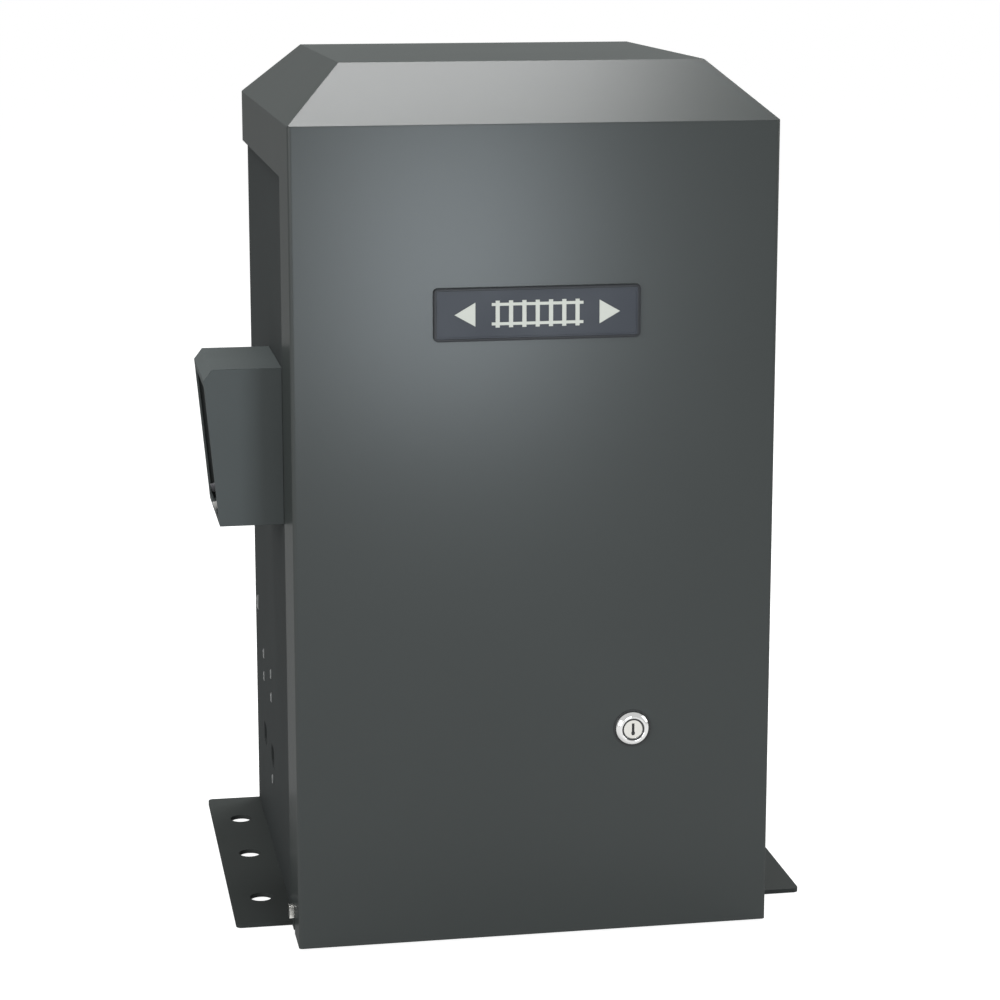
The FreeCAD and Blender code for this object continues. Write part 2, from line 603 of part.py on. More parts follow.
def gear_cover():
    """Front cover of the drum, with the boss for the front bearing."""
    back = DRUM_FRONT_Y
    disc = rod(DRUM_R, (0, GEAR_COVER_Y, OUTPUT_Z), (0, back, OUTPUT_Z))
    boss = rod(33, (0, GEAR_COVER_Y - 13, OUTPUT_Z), (0, back, OUTPUT_Z))
    ribs = []
    for k in range(6):
        angle = math.radians(30 + 60 * k)
        out = V(math.cos(angle), 0, math.sin(angle))
        side = V(-out.z, 0, out.x) * 2
        centre = V(0, GEAR_COVER_Y, OUTPUT_Z)
        ribs.append(prism([centre + out * 28 + side, centre + out * 52 + side,
                           centre + out * 31 + side + V(0, -9, 0),
                           centre + out * 28 + side + V(0, -9, 0)], side * -2))
    cover = fused([disc, boss] + ribs)
    cover = cover.cut(rod(26, (0, back - 16, OUTPUT_Z), (0, back + 1, OUTPUT_Z)))
    cover = cover.cut(rod(14, (0, back - 40, OUTPUT_Z), (0, back + 1, OUTPUT_Z)))
    return cover


def bearing(inner, outer, width, start, axis):
    """A sealed ball bearing, as one ring."""
    end = V(*start) + V(*axis) * width
    return ring(outer, inner, start, end)


def output_bearings():
    r = OUTPUT_SHAFT_R + RUN_GAP
    return group([bearing(r, 25.95, 15, (0, 19.1, OUTPUT_Z), BACK),
                  bearing(r, 25.95, 15, (0, DRUM_FRONT_Y - 15.9, OUTPUT_Z), BACK)])


def worm_bearings():
    r = WORM_SHAFT_R + RUN_GAP
    return group([bearing(r, 17.45, 11, (40, WHEEL_Y, WORM_Z), RIGHT),
                  bearing(r, 17.45, 11, (-51, WHEEL_Y, WORM_Z), RIGHT)])


def worm_caps():
    """Bearing caps at the tunnel's ends: the right one passes the shaft, the left one is closed."""
    outer, bore, end = TUNNEL_BORE_R - 0.05, 17.5, DRUM_R
    right = turned([(38, outer), (end + 0.05, outer), (end + 0.05, TUNNEL_R), (end + 5, TUNNEL_R),
                    (end + 6, TUNNEL_R - 1), (end + 6, 16), (end + 9, 14), (end + 9, 8.3),
                    (51.1, 8.3), (51.1, bore), (38, bore)], (0, WHEEL_Y, WORM_Z), X_AXIS)
    left = turned([(38, outer), (end + 0.05, outer), (end + 0.05, TUNNEL_R), (end + 5, TUNNEL_R),
                   (end + 6, TUNNEL_R - 1), (end + 6, 0), (53, 0), (53, 8.3), (51.1, 8.3),
                   (51.1, bore), (38, bore)], (0, WHEEL_Y, WORM_Z), V(-1, 0, 0))
    return group([right, left])


def output_shaft():
    """Stepped shaft: a collar behind the wheel and a journal in front for the limit pinion."""
    profile = [(-80, 0), (-80, 7.2), (-79.2, 8), (-60, 8), (-60, OUTPUT_SHAFT_R),
               (5, OUTPUT_SHAFT_R), (5, 16), (17, 16), (17, OUTPUT_SHAFT_R), (87, OUTPUT_SHAFT_R),
               (88, OUTPUT_SHAFT_R - 1), (88, 0)]
    return turned(profile, (0, 0, OUTPUT_Z), Y_AXIS)


def worm_wheel():
    """Helical wheel: its teeth slant by the worm's lead angle."""
    half, slope = WHEEL_WIDTH / 2, WORM_MODULE / 2 / WORM_PITCH_R
    pitch_r = WORM_MODULE * WHEEL_TEETH / 2
    outline = gear_outline(WORM_MODULE, WHEEL_TEETH, MESH_THINNING, chords=3)
    sections = []
    for z in (-half, half):
        section = outline.copy()
        section.Placement = FreeCAD.Placement(
            V(0, 0, z), FreeCAD.Rotation(Z_AXIS, math.degrees(z * slope / pitch_r)))
        sections.append(section)
    rim = Part.makeLoft(sections, True, True)
    rim = placed(rim, (0, WHEEL_Y, OUTPUT_Z), Y_AXIS)
    hub = rod(20, (0, WHEEL_Y - 16, OUTPUT_Z), (0, 4.9, OUTPUT_Z))
    bore = rod(OUTPUT_SHAFT_R + 0.02, (0, -60, OUTPUT_Z), (0, 60, OUTPUT_Z))
    return rim.fuse(hub).cut(bore)


def worm_shaft():
    """Right-handed single-start worm on its shaft, with a thread crest under its middle."""
    lead, root_r = math.pi * WORM_MODULE, WORM_PITCH_R - 1.25 * WORM_MODULE
    tip_r, turns = WORM_PITCH_R + WORM_MODULE, 3

    def half_width(radius):
        return lead / 4 - MESH_THINNING + (WORM_PITCH_R - radius) * math.tan(math.radians(20))

    inner = root_r - 0.4
    corners = [V(inner, 0, -half_width(inner)), V(tip_r, 0, -half_width(tip_r)),
               V(tip_r, 0, half_width(tip_r)), V(inner, 0, half_width(inner))]
    profile = Part.makePolygon(corners + corners[:1])
    helix = Part.Wire(Part.makeHelix(lead, 2 * turns * lead, inner))
    thread = helix.makePipeShell([profile], True, True)
    thread.translate(V(0, 0, -turns * lead))
    limit = Part.makeCylinder(tip_r + 3, 2 * WORM_HALF_LENGTH, V(0, 0, -WORM_HALF_LENGTH))
    limit.rotate(V(), Z_AXIS, 127)
    end = BELT_X + PULLEY_WIDTH / 2 + 3
    shaft = turned([(-52, 0), (-52, WORM_SHAFT_R), (-39.8, WORM_SHAFT_R), (-39.8, root_r),
                    (39.8, root_r), (39.8, WORM_SHAFT_R), (end - 1, WORM_SHAFT_R),
                    (end, WORM_SHAFT_R - 1), (end, 0)], (0, 0, 0), Z_AXIS)
    shaft.rotate(V(), Z_AXIS, 37)          # keeps the seams of shaft and thread apart
    return placed(shaft.fuse(thread.common(limit)), (0, WHEEL_Y, WORM_Z), X_AXIS)


def drive_sprocket():
    outline = Part.Face(sprocket_outline()).extrude(V(0, 0, SPROCKET_WIDTH))
    disc = placed(outline, (0, CHAIN_Y - SPROCKET_WIDTH / 2, OUTPUT_Z), Y_AXIS)
    hub = rod(22, (0, DRIVE_PLATE_Y + 8, OUTPUT_Z), (0, CHAIN_Y, OUTPUT_Z))
    key = box((-4, 4), (CHAIN_Y - 25, CHAIN_Y + 10), (OUTPUT_Z + 11, OUTPUT_Z + 15.5))
    sprocket = fused([disc, hub]).cut(rod(OUTPUT_SHAFT_R + 0.02, (0, 0, OUTPUT_Z),
                                          (0, 120, OUTPUT_Z))).cut(key)
    for k in range(6):
        angle = math.radians(60 * k + 30)
        x, z = 27.5 * math.cos(angle), OUTPUT_Z + 27.5 * math.sin(angle)
        sprocket = sprocket.cut(rod(3.2, (x, CHAIN_Y - 10, z), (x, CHAIN_Y + 10, z)))
    return sprocket


def limit_pinion():
    face = Part.Face(gear_outline(LIMIT_MODULE, LIMIT_PINION_TEETH, 0.12))
    disc = placed(face.extrude(V(0, 0, LIMIT_GEAR_WIDTH + 1)), (0, -78, OUTPUT_Z), Y_AXIS)
    hub = rod(12, (0, -78, OUTPUT_Z), (0, -64, OUTPUT_Z))
    return fused([disc, hub]).cut(rod(8.02, (0, -90, OUTPUT_Z), (0, -50, OUTPUT_Z)))


# ---------------------------------------------------------------- belt drive and motor
def pulley(outer, axis_z, bore, rim=0.0):
    """A grooved pulley about the X direction; rim > 0 leaves a thin web with round windows."""
    low, high = BELT_X - PULLEY_WIDTH / 2, BELT_X + PULLEY_WIDTH / 2
    top = BELT_TOP_WIDTH / 2 + BELT_GAP / math.cos(GROOVE_HALF_ANGLE)
    depth = BELT_THICKNESS + 1
    bottom = top - depth * math.tan(GROOVE_HALF_ANGLE)
    profile = [(low, bore), (high, bore), (high, outer - 0.6), (high - 0.6, outer),
               (BELT_X + top, outer), (BELT_X + bottom, outer - depth),
               (BELT_X - bottom, outer - depth), (BELT_X - top, outer), (low + 0.6, outer),
               (low, outer - 0.6)]
    wheel = turned(profile, (0, WHEEL_Y, axis_z), X_AXIS)
    if rim:
        for start in (low - 1, high - 6):
            dish = ring(outer - rim, bore + 8, (start, WHEEL_Y, axis_z), (start + 7, WHEEL_Y, axis_z))
            wheel = wheel.cut(dish)
        middle = (outer - rim + bore + 8) / 2
        for k in range(5):
            angle = math.radians(72 * k + 90)
            y, z = WHEEL_Y + middle * math.cos(angle), axis_z + middle * math.sin(angle)
            wheel = wheel.cut(rod(9, (low - 1, y, z), (high + 1, y, z)))
    return wheel


def v_belt():
    """The belt's section, turned round both pulleys and drawn along both straight runs."""
    top, bottom = BELT_TOP_WIDTH / 2, BELT_TOP_WIDTH / 2 - BELT_THICKNESS * math.tan(GROOVE_HALF_ANGLE)
    tilt = math.asin((DRIVEN_PULLEY_R - MOTOR_PULLEY_R) / BELT_CENTRES)

    def section(centre_z, radius, angle):
        def at(x, r):
            return V(BELT_X + x, WHEEL_Y + r * math.cos(angle), centre_z + r * math.sin(angle))
        inner = radius - BELT_THICKNESS
        corners = [at(-top, radius), at(top, radius), at(bottom, inner), at(-bottom, inner)]
        return Part.Face(Part.makePolygon(corners + corners[:1]))

    wrap = math.degrees(tilt)
    lower = section(WORM_Z, DRIVEN_PULLEY_R, math.pi - tilt).revolve(
        V(0, WHEEL_Y, WORM_Z), X_AXIS, 180 + 2 * wrap)
    upper = section(MOTOR_Z, MOTOR_PULLEY_R, tilt).revolve(
        V(0, WHEEL_Y, MOTOR_Z), X_AXIS, 180 - 2 * wrap)
    runs = []
    for angle in (tilt, math.pi - tilt):
        out = V(0, math.cos(angle), math.sin(angle))
        start = V(0, WHEEL_Y, WORM_Z) + out * DRIVEN_PULLEY_R
        end = V(0, WHEEL_Y, MOTOR_Z) + out * MOTOR_PULLEY_R
        runs.append(section(WORM_Z, DRIVEN_PULLEY_R, angle).extrude(end - start))
    return fused([lower, upper] + runs)


def motor_shelf():
    """Plate under the motor, with a skirt along its left and front edges."""
    (left, right), front = SHELF_X, SHELF_FRONT
    low = MOTOR_SHELF_Z - SHELF_SKIRT
    shelf = box((left, right), (front, DRIVE_PLATE_Y + 14), (MOTOR_SHELF_Z, SHELF_TOP_Z))
    shelf = rounded(shelf, 6.0, lambda edge: runs_along(edge, Z_AXIS))
    skirts = [box((left, left + SHELF_SHEET), (front + 6, DRIVE_PLATE_Y + 8),
                  (low, MOTOR_SHELF_Z + 1)),
              box((left + 6, right - 6), (front, front + SHELF_SHEET), (low, MOTOR_SHELF_Z + 1))]
    return fused([shelf] + skirts)


def shelf_posts():
    posts = []
    for x, y in POST_XY:
        post = fused([hexagon(POST_FLATS, (x, y, BASE_SHEET), (x, y, MOTOR_SHELF_Z)),
                      rod(POST_SPIGOT_R, (x, y, 0.5), (x, y, BASE_SHEET + 1))])
        posts.append(post)
    return group(posts)


def motor_stator():
    """Rolled shell over the laminations, on two saddles welded to its foot."""
    low, high = MOTOR_STATOR_X
    centre = (WHEEL_Y, MOTOR_Z)
    foot_half, foot_top = MOTOR_R + 4, SHELF_TOP_Z + MOTOR_FOOT_SHEET
    shell = rod(MOTOR_R, (low, *centre), (high, *centre))
    foot = box(MOTOR_FOOT_X, (WHEEL_Y - foot_half, WHEEL_Y + foot_half), (SHELF_TOP_Z, foot_top))
    foot = rounded(foot, 5.0, lambda edge: runs_along(edge, Z_AXIS))
    wide, narrow, top = foot_half - 18, foot_half - 22, MOTOR_Z - 0.6 * MOTOR_R
    saddles = [prism([(x, WHEEL_Y - wide, foot_top - 1), (x, WHEEL_Y + wide, foot_top - 1),
                      (x, WHEEL_Y + narrow, top), (x, WHEEL_Y - narrow, top)], (6, 0, 0))
               for x in (MOTOR_FOOT_X[0] + 22, MOTOR_FOOT_X[1] - 28)]
    body = fused([shell, foot] + saddles)
    for start, end in ((low - 1, low + WINDING_SPACE), (high - WINDING_SPACE, high + 1)):
        body = body.cut(rod(MOTOR_R - MOTOR_SHELL, (start, *centre), (end, *centre)))
    return body.cut(rod(ROTOR_R + 0.5, (low, *centre), (high, *centre)))


def motor_bell(right):
    """An end bell with a bearing seat and cooling slots."""
    low, high = MOTOR_STATOR_X
    face, way = (high, 1) if right else (low, -1)
    seat_r, shaft_r = 20.0, MOTOR_SHAFT_R + 1.5
    spigot_r = MOTOR_R - MOTOR_SHELL - 0.1
    profile = [(-4, spigot_r), (0.05, spigot_r), (0.05, MOTOR_R), (6, MOTOR_R),
               (14, MOTOR_R - 6), (14, 26), (MOTOR_BELL, 23), (MOTOR_BELL, shaft_r),
               (17, shaft_r), (17, seat_r), (3, seat_r), (3, 25), (9, 29), (9, MOTOR_R - 9),
               (4, MOTOR_R - 5), (-4, MOTOR_R - 5)]
    bell = turned(profile, (face, WHEEL_Y, MOTOR_Z), V(way, 0, 0))
    for k in range(4):
        slot = box((-14, 14), (37, 45), (4, 20))
        slot.rotate(V(), Z_AXIS, 90 * k + 45)
        bell = bell.cut(placed(slot, (face, WHEEL_Y, MOTOR_Z), V(way, 0, 0)))
    return bell


def motor_bells():
    return group([motor_bell(True), motor_bell(False)])


def motor_bearings():
    low, high = MOTOR_STATOR_X
    inner = MOTOR_SHAFT_R + RUN_GAP
    return group([bearing(inner, 19.95, 12, (high + 4.5, WHEEL_Y, MOTOR_Z), RIGHT),
                  bearing(inner, 19.95, 12, (low - 16.5, WHEEL_Y, MOTOR_Z), RIGHT)])


FAN_X = MOTOR_STATOR_X[0] - MOTOR_BELL - 16


def fan_cowl():
    """The perforated cup over the cooling fan, clipped round the left bell."""
    low, high = FAN_X - 6, MOTOR_STATOR_X[0] - 2
    centre = (WHEEL_Y, MOTOR_Z)
    cup = ring(MOTOR_R + 1.6, MOTOR_R + 0.1, (low, *centre), (high, *centre))
    end = rod(MOTOR_R + 1.6, (low, *centre), (low + 1.5, *centre))
    cup = fused([cup, end])
    for k in range(12):
        slot = box((-2.5, 2.5), (16, 50), (-1, 3))
        slot.rotate(V(), Z_AXIS, 30 * k)
        cup = cup.cut(placed(slot, (low, *centre), X_AXIS))
    return cup


def cooling_fan():
    x = FAN_X
    centre = (WHEEL_Y, MOTOR_Z)
    disc = rod(44, (x + 8, *centre), (x + 10, *centre))
    hub = rod(14, (x - 1, *centre), (x + 10, *centre))
    blades = []
    for k in range(8):
        blade = box((x, x + 9), (12, 46), (-1, 1))
        blade.rotate(V(), X_AXIS, 45 * k)
        blade.translate(V(0, *centre))
        blades.append(blade)
    fan = fused([disc, hub] + blades)
    return fan.cut(rod(MOTOR_SHAFT_R + 0.02, (x - 20, *centre), (x + 30, *centre)))


def rotor_shaft():
    left, right = FAN_X - 2, BELT_X + PULLEY_WIDTH / 2 + 3
    core_r, (low, high) = ROTOR_R, MOTOR_STATOR_X
    profile = [(left, 0), (left, MOTOR_SHAFT_R), (low + 10, MOTOR_SHAFT_R), (low + 10, 26),
               (low + WINDING_SPACE, 30), (low + WINDING_SPACE, core_r),
               (high - WINDING_SPACE, core_r), (high - WINDING_SPACE, 30),
               (high - 10, 26), (high - 10, MOTOR_SHAFT_R), (right - 1, MOTOR_SHAFT_R),
               (right, MOTOR_SHAFT_R - 1), (right, 0)]
    return turned(profile, (0, WHEEL_Y, MOTOR_Z), X_AXIS)


# ---------------------------------------------------------------- chain idlers
def idler_bracket(right):
    """Base on the side wall, two cheeks and the wheel's axle between them."""
    x_wall, (front, back) = WALL_IN - 0.1, IDLER_BRACKET_Y
    sheet, low = IDLER_BRACKET_SHEET, BRACKET_SCREW_Z[0] - 12
    top = BRACKET_SCREW_Z[1] + 10
    base = box((x_wall - sheet, x_wall), (front, back), (low, top))
    cheeks = []
    for y in (CHAIN_Y - 17, CHAIN_Y + 17 - sheet):
        outline = [(x_wall, y, low), (x_wall, y, top), (x_wall - 18, y, top),
                   (IDLER_X - 12, y, IDLER_Z + 8), (IDLER_X - 12, y, IDLER_Z - 10),
                   (IDLER_X + 12, y, IDLER_Z - 10)]
        cheeks.append(prism(outline, (0, sheet, 0)))
    frame = fused([base] + cheeks)
    start, end = CHAIN_Y - 17, CHAIN_Y + 17
    frame = frame.cut(rod(IDLER_AXLE_R + 0.05, (IDLER_X, start - 1, IDLER_Z),
                          (IDLER_X, end + 1, IDLER_Z)))
    axle = fused([rod(IDLER_AXLE_R, (IDLER_X, start, IDLER_Z), (IDLER_X, end + 2, IDLER_Z)),
                  hexagon(16, (IDLER_X, start - 5, IDLER_Z), (IDLER_X, start, IDLER_Z)),
                  hexagon(16, (IDLER_X, end + 0.05, IDLER_Z), (IDLER_X, end + 5, IDLER_Z))])
    bracket = group([frame, axle])
    return bracket if right else mirrored(bracket)


def idler_wheel(right):
    half, flange = IDLER_WIDTH / 2, 3.0
    hub = 17 - IDLER_BRACKET_SHEET - 0.3
    bore = IDLER_AXLE_R + RUN_GAP
    profile = [(-hub, bore), (hub, bore), (hub, 9), (half, 9), (half, IDLER_FLANGE_R - 1),
               (half - 1, IDLER_FLANGE_R), (half - flange, IDLER_FLANGE_R - 1),
               (half - flange - 1, IDLER_RIM_R), (flange + 1 - half, IDLER_RIM_R),
               (flange - half, IDLER_FLANGE_R - 1), (1 - half, IDLER_FLANGE_R),
               (-half, IDLER_FLANGE_R - 1), (-half, 9), (-hub, 9)]
    wheel = turned(profile, (IDLER_X, CHAIN_Y, IDLER_Z), Y_AXIS)
    return wheel if right else mirrored(wheel)


# ---------------------------------------------------------------- limit switches
LEVER_GAP = 0.3
LEVER_PIVOT_Z = OUTPUT_Z + 33
NUT_REACH = LIMIT_NUT_TRAVEL + LIMIT_NUT_WIDTH / 2
LEVER_Y = (LIMIT_NUT_Y[0] - NUT_REACH - LEVER_GAP - LEVER_THICKNESS / 2,
           LIMIT_NUT_Y[1] + NUT_REACH + LEVER_GAP + LEVER_THICKNESS / 2)


def limit_bracket():
    """Folded stand: foot, upright, floor with the blade that stops the nuts turning, two ears."""
    sheet, floor = LIMIT_BRACKET_SHEET, OUTPUT_Z - 36
    front, back = LIMIT_EARS_Y[0], LIMIT_EARS_Y[1] + sheet
    x_left, x_right = LIMIT_X - 30, LIMIT_X + 26
    y_foot = (BASE_FRONT + 3, back)
    upright = box((x_left, x_left + sheet), y_foot, (BASE_SHEET, floor + sheet))
    foot = box((x_left - 18, x_left + sheet), y_foot, (BASE_SHEET, BASE_SHEET + sheet))
    floor_plate = box((x_left, x_right), (front, back), (floor, floor + sheet))
    blade = box((LIMIT_X - 1, LIMIT_X + 1), (front, back), (floor, OUTPUT_Z - LIMIT_NUT_R + 3))
    ears = [box((LIMIT_X - 16, LIMIT_X + 16), (y, y + sheet), (floor, LEVER_PIVOT_Z + 3))
            for y in LIMIT_EARS_Y]
    frame = fused([upright, foot, floor_plate, blade] + ears)
    frame = frame.cut(rod(3 + RUN_GAP, (LIMIT_X, front - 1, OUTPUT_Z), (LIMIT_X, front + 5, OUTPUT_Z)))
    return frame.cut(rod(5 + RUN_GAP, (LIMIT_X, back - 5, OUTPUT_Z), (LIMIT_X, back + 1, OUTPUT_Z)))


def limit_screw():
    """Rod between two journals; its rear end carries the gear."""
    front, back = LIMIT_EARS_Y[0], LIMIT_EARS_Y[1]
    start, end = front + 2.3, back - 0.3
    profile = [(front - 3, 0), (front - 3, 3), (start, 3), (start, LIMIT_SCREW_R),
               (end, LIMIT_SCREW_R), (end, 5), (-68, 5), (-68, 0)]
    return turned(profile, (LIMIT_X, 0, OUTPUT_Z), Y_AXIS)


def limit_gear():
    step = 360 / LIMIT_GEAR_TEETH
    outline = gear_outline(LIMIT_MODULE, LIMIT_GEAR_TEETH, 0.12, turn=math.radians(step / 2))
    disc = Part.Face(outline).extrude(V(0, 0, LIMIT_GEAR_WIDTH))
    disc = placed(disc, (LIMIT_X, -77.5, OUTPUT_Z), Y_AXIS)
    for k in range(5):
        angle = math.radians(72 * k)
        x, z = LIMIT_X + 16 * math.cos(angle), OUTPUT_Z + 16 * math.sin(angle)
        disc = disc.cut(rod(4, (x, -90, z), (x, -60, z)))
    return disc.cut(rod(5.02, (LIMIT_X, -90, OUTPUT_Z), (LIMIT_X, -60, OUTPUT_Z)))


def limit_nut(y):
    half = LIMIT_NUT_WIDTH / 2
    nut = rod(LIMIT_NUT_R, (LIMIT_X, y - half, OUTPUT_Z), (LIMIT_X, y + half, OUTPUT_Z))
    for k in range(LIMIT_NOTCHES):
        notch = box((-1.4, 1.4), (y - half - 1, y + half + 1),
                    (-LIMIT_NUT_R - 1, -LIMIT_NUT_R + 4))
        notch.rotate(V(), Y_AXIS, 360 / LIMIT_NOTCHES * k)
        notch.translate(V(LIMIT_X, 0, OUTPUT_Z))
        nut = nut.cut(notch)
    return nut.cut(rod(LIMIT_SCREW_R + RUN_GAP, (LIMIT_X, y - 10, OUTPUT_Z),
                       (LIMIT_X, y + 10, OUTPUT_Z)))


def limit_switch(rear):
    """Switch body on an ear, with the two tabs and the pin that its lever hangs from."""
    way = 1 if rear else -1
    width, depth, height = SWITCH_BODY
    ear = LIMIT_EARS_Y[1] - 0.05 if rear else LIMIT_EARS_Y[0] + LIMIT_BRACKET_SHEET + 0.05
    x, pivot_y, pivot_z = LIMIT_X, LEVER_Y[1 if rear else 0], LEVER_PIVOT_Z

    def span(a, b):
        return min(a, b), max(a, b)

    inner = ear - way * depth
    body = box((x - width / 2, x + width / 2), span(ear, inner), (pivot_z - height, pivot_z + 1.5))
    tabs = [box((x + a, x + b), span(inner + way * 0.5, pivot_y - way * 1.6),
                (pivot_z - 2, pivot_z + 1.5)) for a, b in ((-10, -8.2), (8.2, 10))]
    pin = rod(1.0, (x - 9, pivot_y, pivot_z), (x + 9, pivot_y, pivot_z))
    return fused([body, pin] + tabs)


def limit_switches():
    return group([limit_switch(False), limit_switch(True)])


def switch_lever(rear):
    y, z, x = LEVER_Y[1 if rear else 0], LEVER_PIVOT_Z, LIMIT_X
    barrel = rod(1.7, (x - 8, y, z), (x + 8, y, z))
    blade = box((x - 3.5, x + 3.5), (y - LEVER_THICKNESS / 2, y + LEVER_THICKNESS / 2),
                (OUTPUT_Z + 8.0, z))
    lever = fused([barrel, blade])
    return lever.cut(rod(1.0 + RUN_GAP, (x - 10, y, z), (x + 10, y, z)))


# ---------------------------------------------------------------- side box
FACE_SLOPE = math.atan2(BOX_CORNER_REACH - BOX_BOTTOM_REACH, BOX_TOP_Z - BOX_CORNER_DROP - BOX_BOTTOM_Z)


def box_profile(inset):
    """The side box's cross-section (x, z), moved inward by inset."""
    wall, low, high = -WALL_OUT, BOX_BOTTOM_Z, BOX_TOP_Z
    slant = inset / math.cos(FACE_SLOPE)
    cut = inset * 0.45
    return [(wall - inset, high - inset), (wall - BOX_TOP_REACH + cut, high - inset),
            (wall - BOX_CORNER_REACH + slant, high - BOX_CORNER_DROP - cut),
            (wall - BOX_BOTTOM_REACH + slant, low + inset), (wall - inset, low + inset)]


def face_x(z):
    """X of the side box's outer face at a height."""
    return -WALL_OUT - BOX_BOTTOM_REACH - (z - BOX_BOTTOM_Z) * math.tan(FACE_SLOPE)


def outlet_box():
    depth = BOX_Y[1] - BOX_Y[0]
    outside = prism([(x, BOX_Y[0], z) for x, z in box_profile(0.0)], (0, depth, 0))
    outside.translate(V(-0.05, 0, 0))
    inside = prism([(x, BOX_Y[0] + BOX_SHEET, z) for x, z in box_profile(BOX_SHEET)],
                   (0, depth - 2 * BOX_SHEET, 0))
    mouth = box((-300, -WALL_OUT - 20), (BOX_Y[0] + BOX_LIP, BOX_Y[1] - BOX_LIP),
                (BOX_BOTTOM_Z + BOX_LIP, BOX_TOP_Z - BOX_CORNER_DROP - BOX_LIP))
    shell = outside.cut(inside).cut(mouth)
    middle_z = (BOX_TOP_Z + BOX_BOTTOM_Z) / 2 - 4
    shell = shell.cut(slot_prism(54, 68, 6, (-WALL_OUT - 5, BOX_MID_Y, middle_z), 10))
    return shell


def on_face(shape, y, z):
    """Puts a shape made looking at the face (x right, y up, z outward) on the recessed panel."""
    up = V(-math.sin(FACE_SLOPE), 0, math.cos(FACE_SLOPE))
    out = V(-math.cos(FACE_SLOPE), 0, -math.sin(FACE_SLOPE))
    at = V(face_x(z) + FACE_RECESS, y, z)
    move = FreeCAD.Matrix(0, up.x, out.x, at.x, -1, up.y, out.y, at.y, 0, up.z, out.z, at.z)
    shape = shape.copy()
    shape.Placement = FreeCAD.Placement(move).multiply(shape.Placement)
    return shape


PANEL_MID_Z = (BOX_TOP_Z - BOX_CORNER_DROP + BOX_BOTTOM_Z) / 2
OUTLET_Y = BOX_MID_Y + 9
OUTLET_SIZE = (34.0, 69.0)
TOGGLE_BODY = (15.0, 31.0)
TOGGLE_MID_Z = sum(TOGGLE_Z) / 2
TOGGLE_PIVOT = -3.5         # depth of the levers' pins, from the panel's face
OUTLET_PANEL_SHEET = 2.0


def flat(x, y, z):
    """A box in the panel's own directions."""
    return box(x, y, z)


def outlet_panel():
    half = (BOX_Y[1] - BOX_Y[0]) / 2 - BOX_SHEET - 0.3
    high = (BOX_TOP_Z - BOX_CORNER_DROP - BOX_BOTTOM_Z) / 2 - 3.0
    panel = on_face(flat((-half, half), (-high, high), (-OUTLET_PANEL_SHEET, 0)),
                    BOX_MID_Y, PANEL_MID_Z)
    w, h = OUTLET_SIZE
    outlet = flat((-w / 2 - 0.3, w / 2 + 0.3), (-h / 2 - 0.3, h / 2 + 0.3), (-10, 10))
    w, h = TOGGLE_BODY
    toggles = flat((-w / 2 - 0.3, w / 2 + 0.3), (-h / 2 - 0.3, h / 2 + 0.3), (-10, 10))
    panel = panel.cut(on_face(outlet, OUTLET_Y, OUTLET_Z))
    return panel.cut(on_face(toggles, TOGGLE_Y, TOGGLE_MID_Z))


def outlet():
    """Duplex outlet: body, two faces with slots, and two small buttons' frame between them."""
    w, h = OUTLET_SIZE
    body = flat((-w / 2, w / 2), (-h / 2, h / 2), (-22, 1.0))
    faces = []
    for y in (-19, 19):
        face = rod(15.5, (0, y, 0), (0, y, 3.0)).common(flat((-16, 16), (y - 12.5, y + 12.5), (0, 4)))
        faces.append(face)
    whole = fused([body] + faces)
    for y in (-19, 19):
        for x, half in ((-6.3, 4.0), (6.3, 3.3)):
            whole = whole.cut(flat((x - 1, x + 1), (y + 2 - half, y + 2 + half), (-6, 5)))
        whole = whole.cut(rod(2.5, (0, y - 6.5, -6), (0, y - 6.5, 5)))
    return on_face(whole, OUTLET_Y, OUTLET_Z)


def toggle_body():
    """The frame that both levers are pinned in."""
    w, h = TOGGLE_BODY
    frame = fused([flat((-w / 2, w / 2), (-h / 2, h / 2), (-16, 1.0)),
                   flat((-w / 2 - 1.5, w / 2 + 1.5), (-h / 2 - 1.5, h / 2 + 1.5), (0.05, 1.2))])
    for z in TOGGLE_Z:
        y = z - TOGGLE_MID_Z
        frame = frame.cut(flat((-3.2, 3.2), (y - 4.2, y + 4.2), (TOGGLE_PIVOT - 3.4, 5)))
        frame = frame.cut(rod(1.4 + RUN_GAP, (-5.2, y, TOGGLE_PIVOT), (5.2, y, TOGGLE_PIVOT)))
    return on_face(frame, TOGGLE_Y, TOGGLE_MID_Z)


def toggle_lever(index):
    """A lever resting at the lower end of its throw."""
    y = TOGGLE_Z[index] - TOGGLE_MID_Z
    stem = Part.makeCone(2.2, 2.9, TOGGLE_LENGTH, V(0, y, TOGGLE_PIVOT), Z_AXIS)
    hub = rod(2.7, (-2.6, y, TOGGLE_PIVOT), (2.6, y, TOGGLE_PIVOT))
    pin = rod(1.4, (-5, y, TOGGLE_PIVOT), (5, y, TOGGLE_PIVOT))
    lever = fused([stem, hub, pin])
    lever.rotate(V(0, y, TOGGLE_PIVOT), X_AXIS, TOGGLE_TILT)
    return on_face(lever, TOGGLE_Y, TOGGLE_MID_Z)


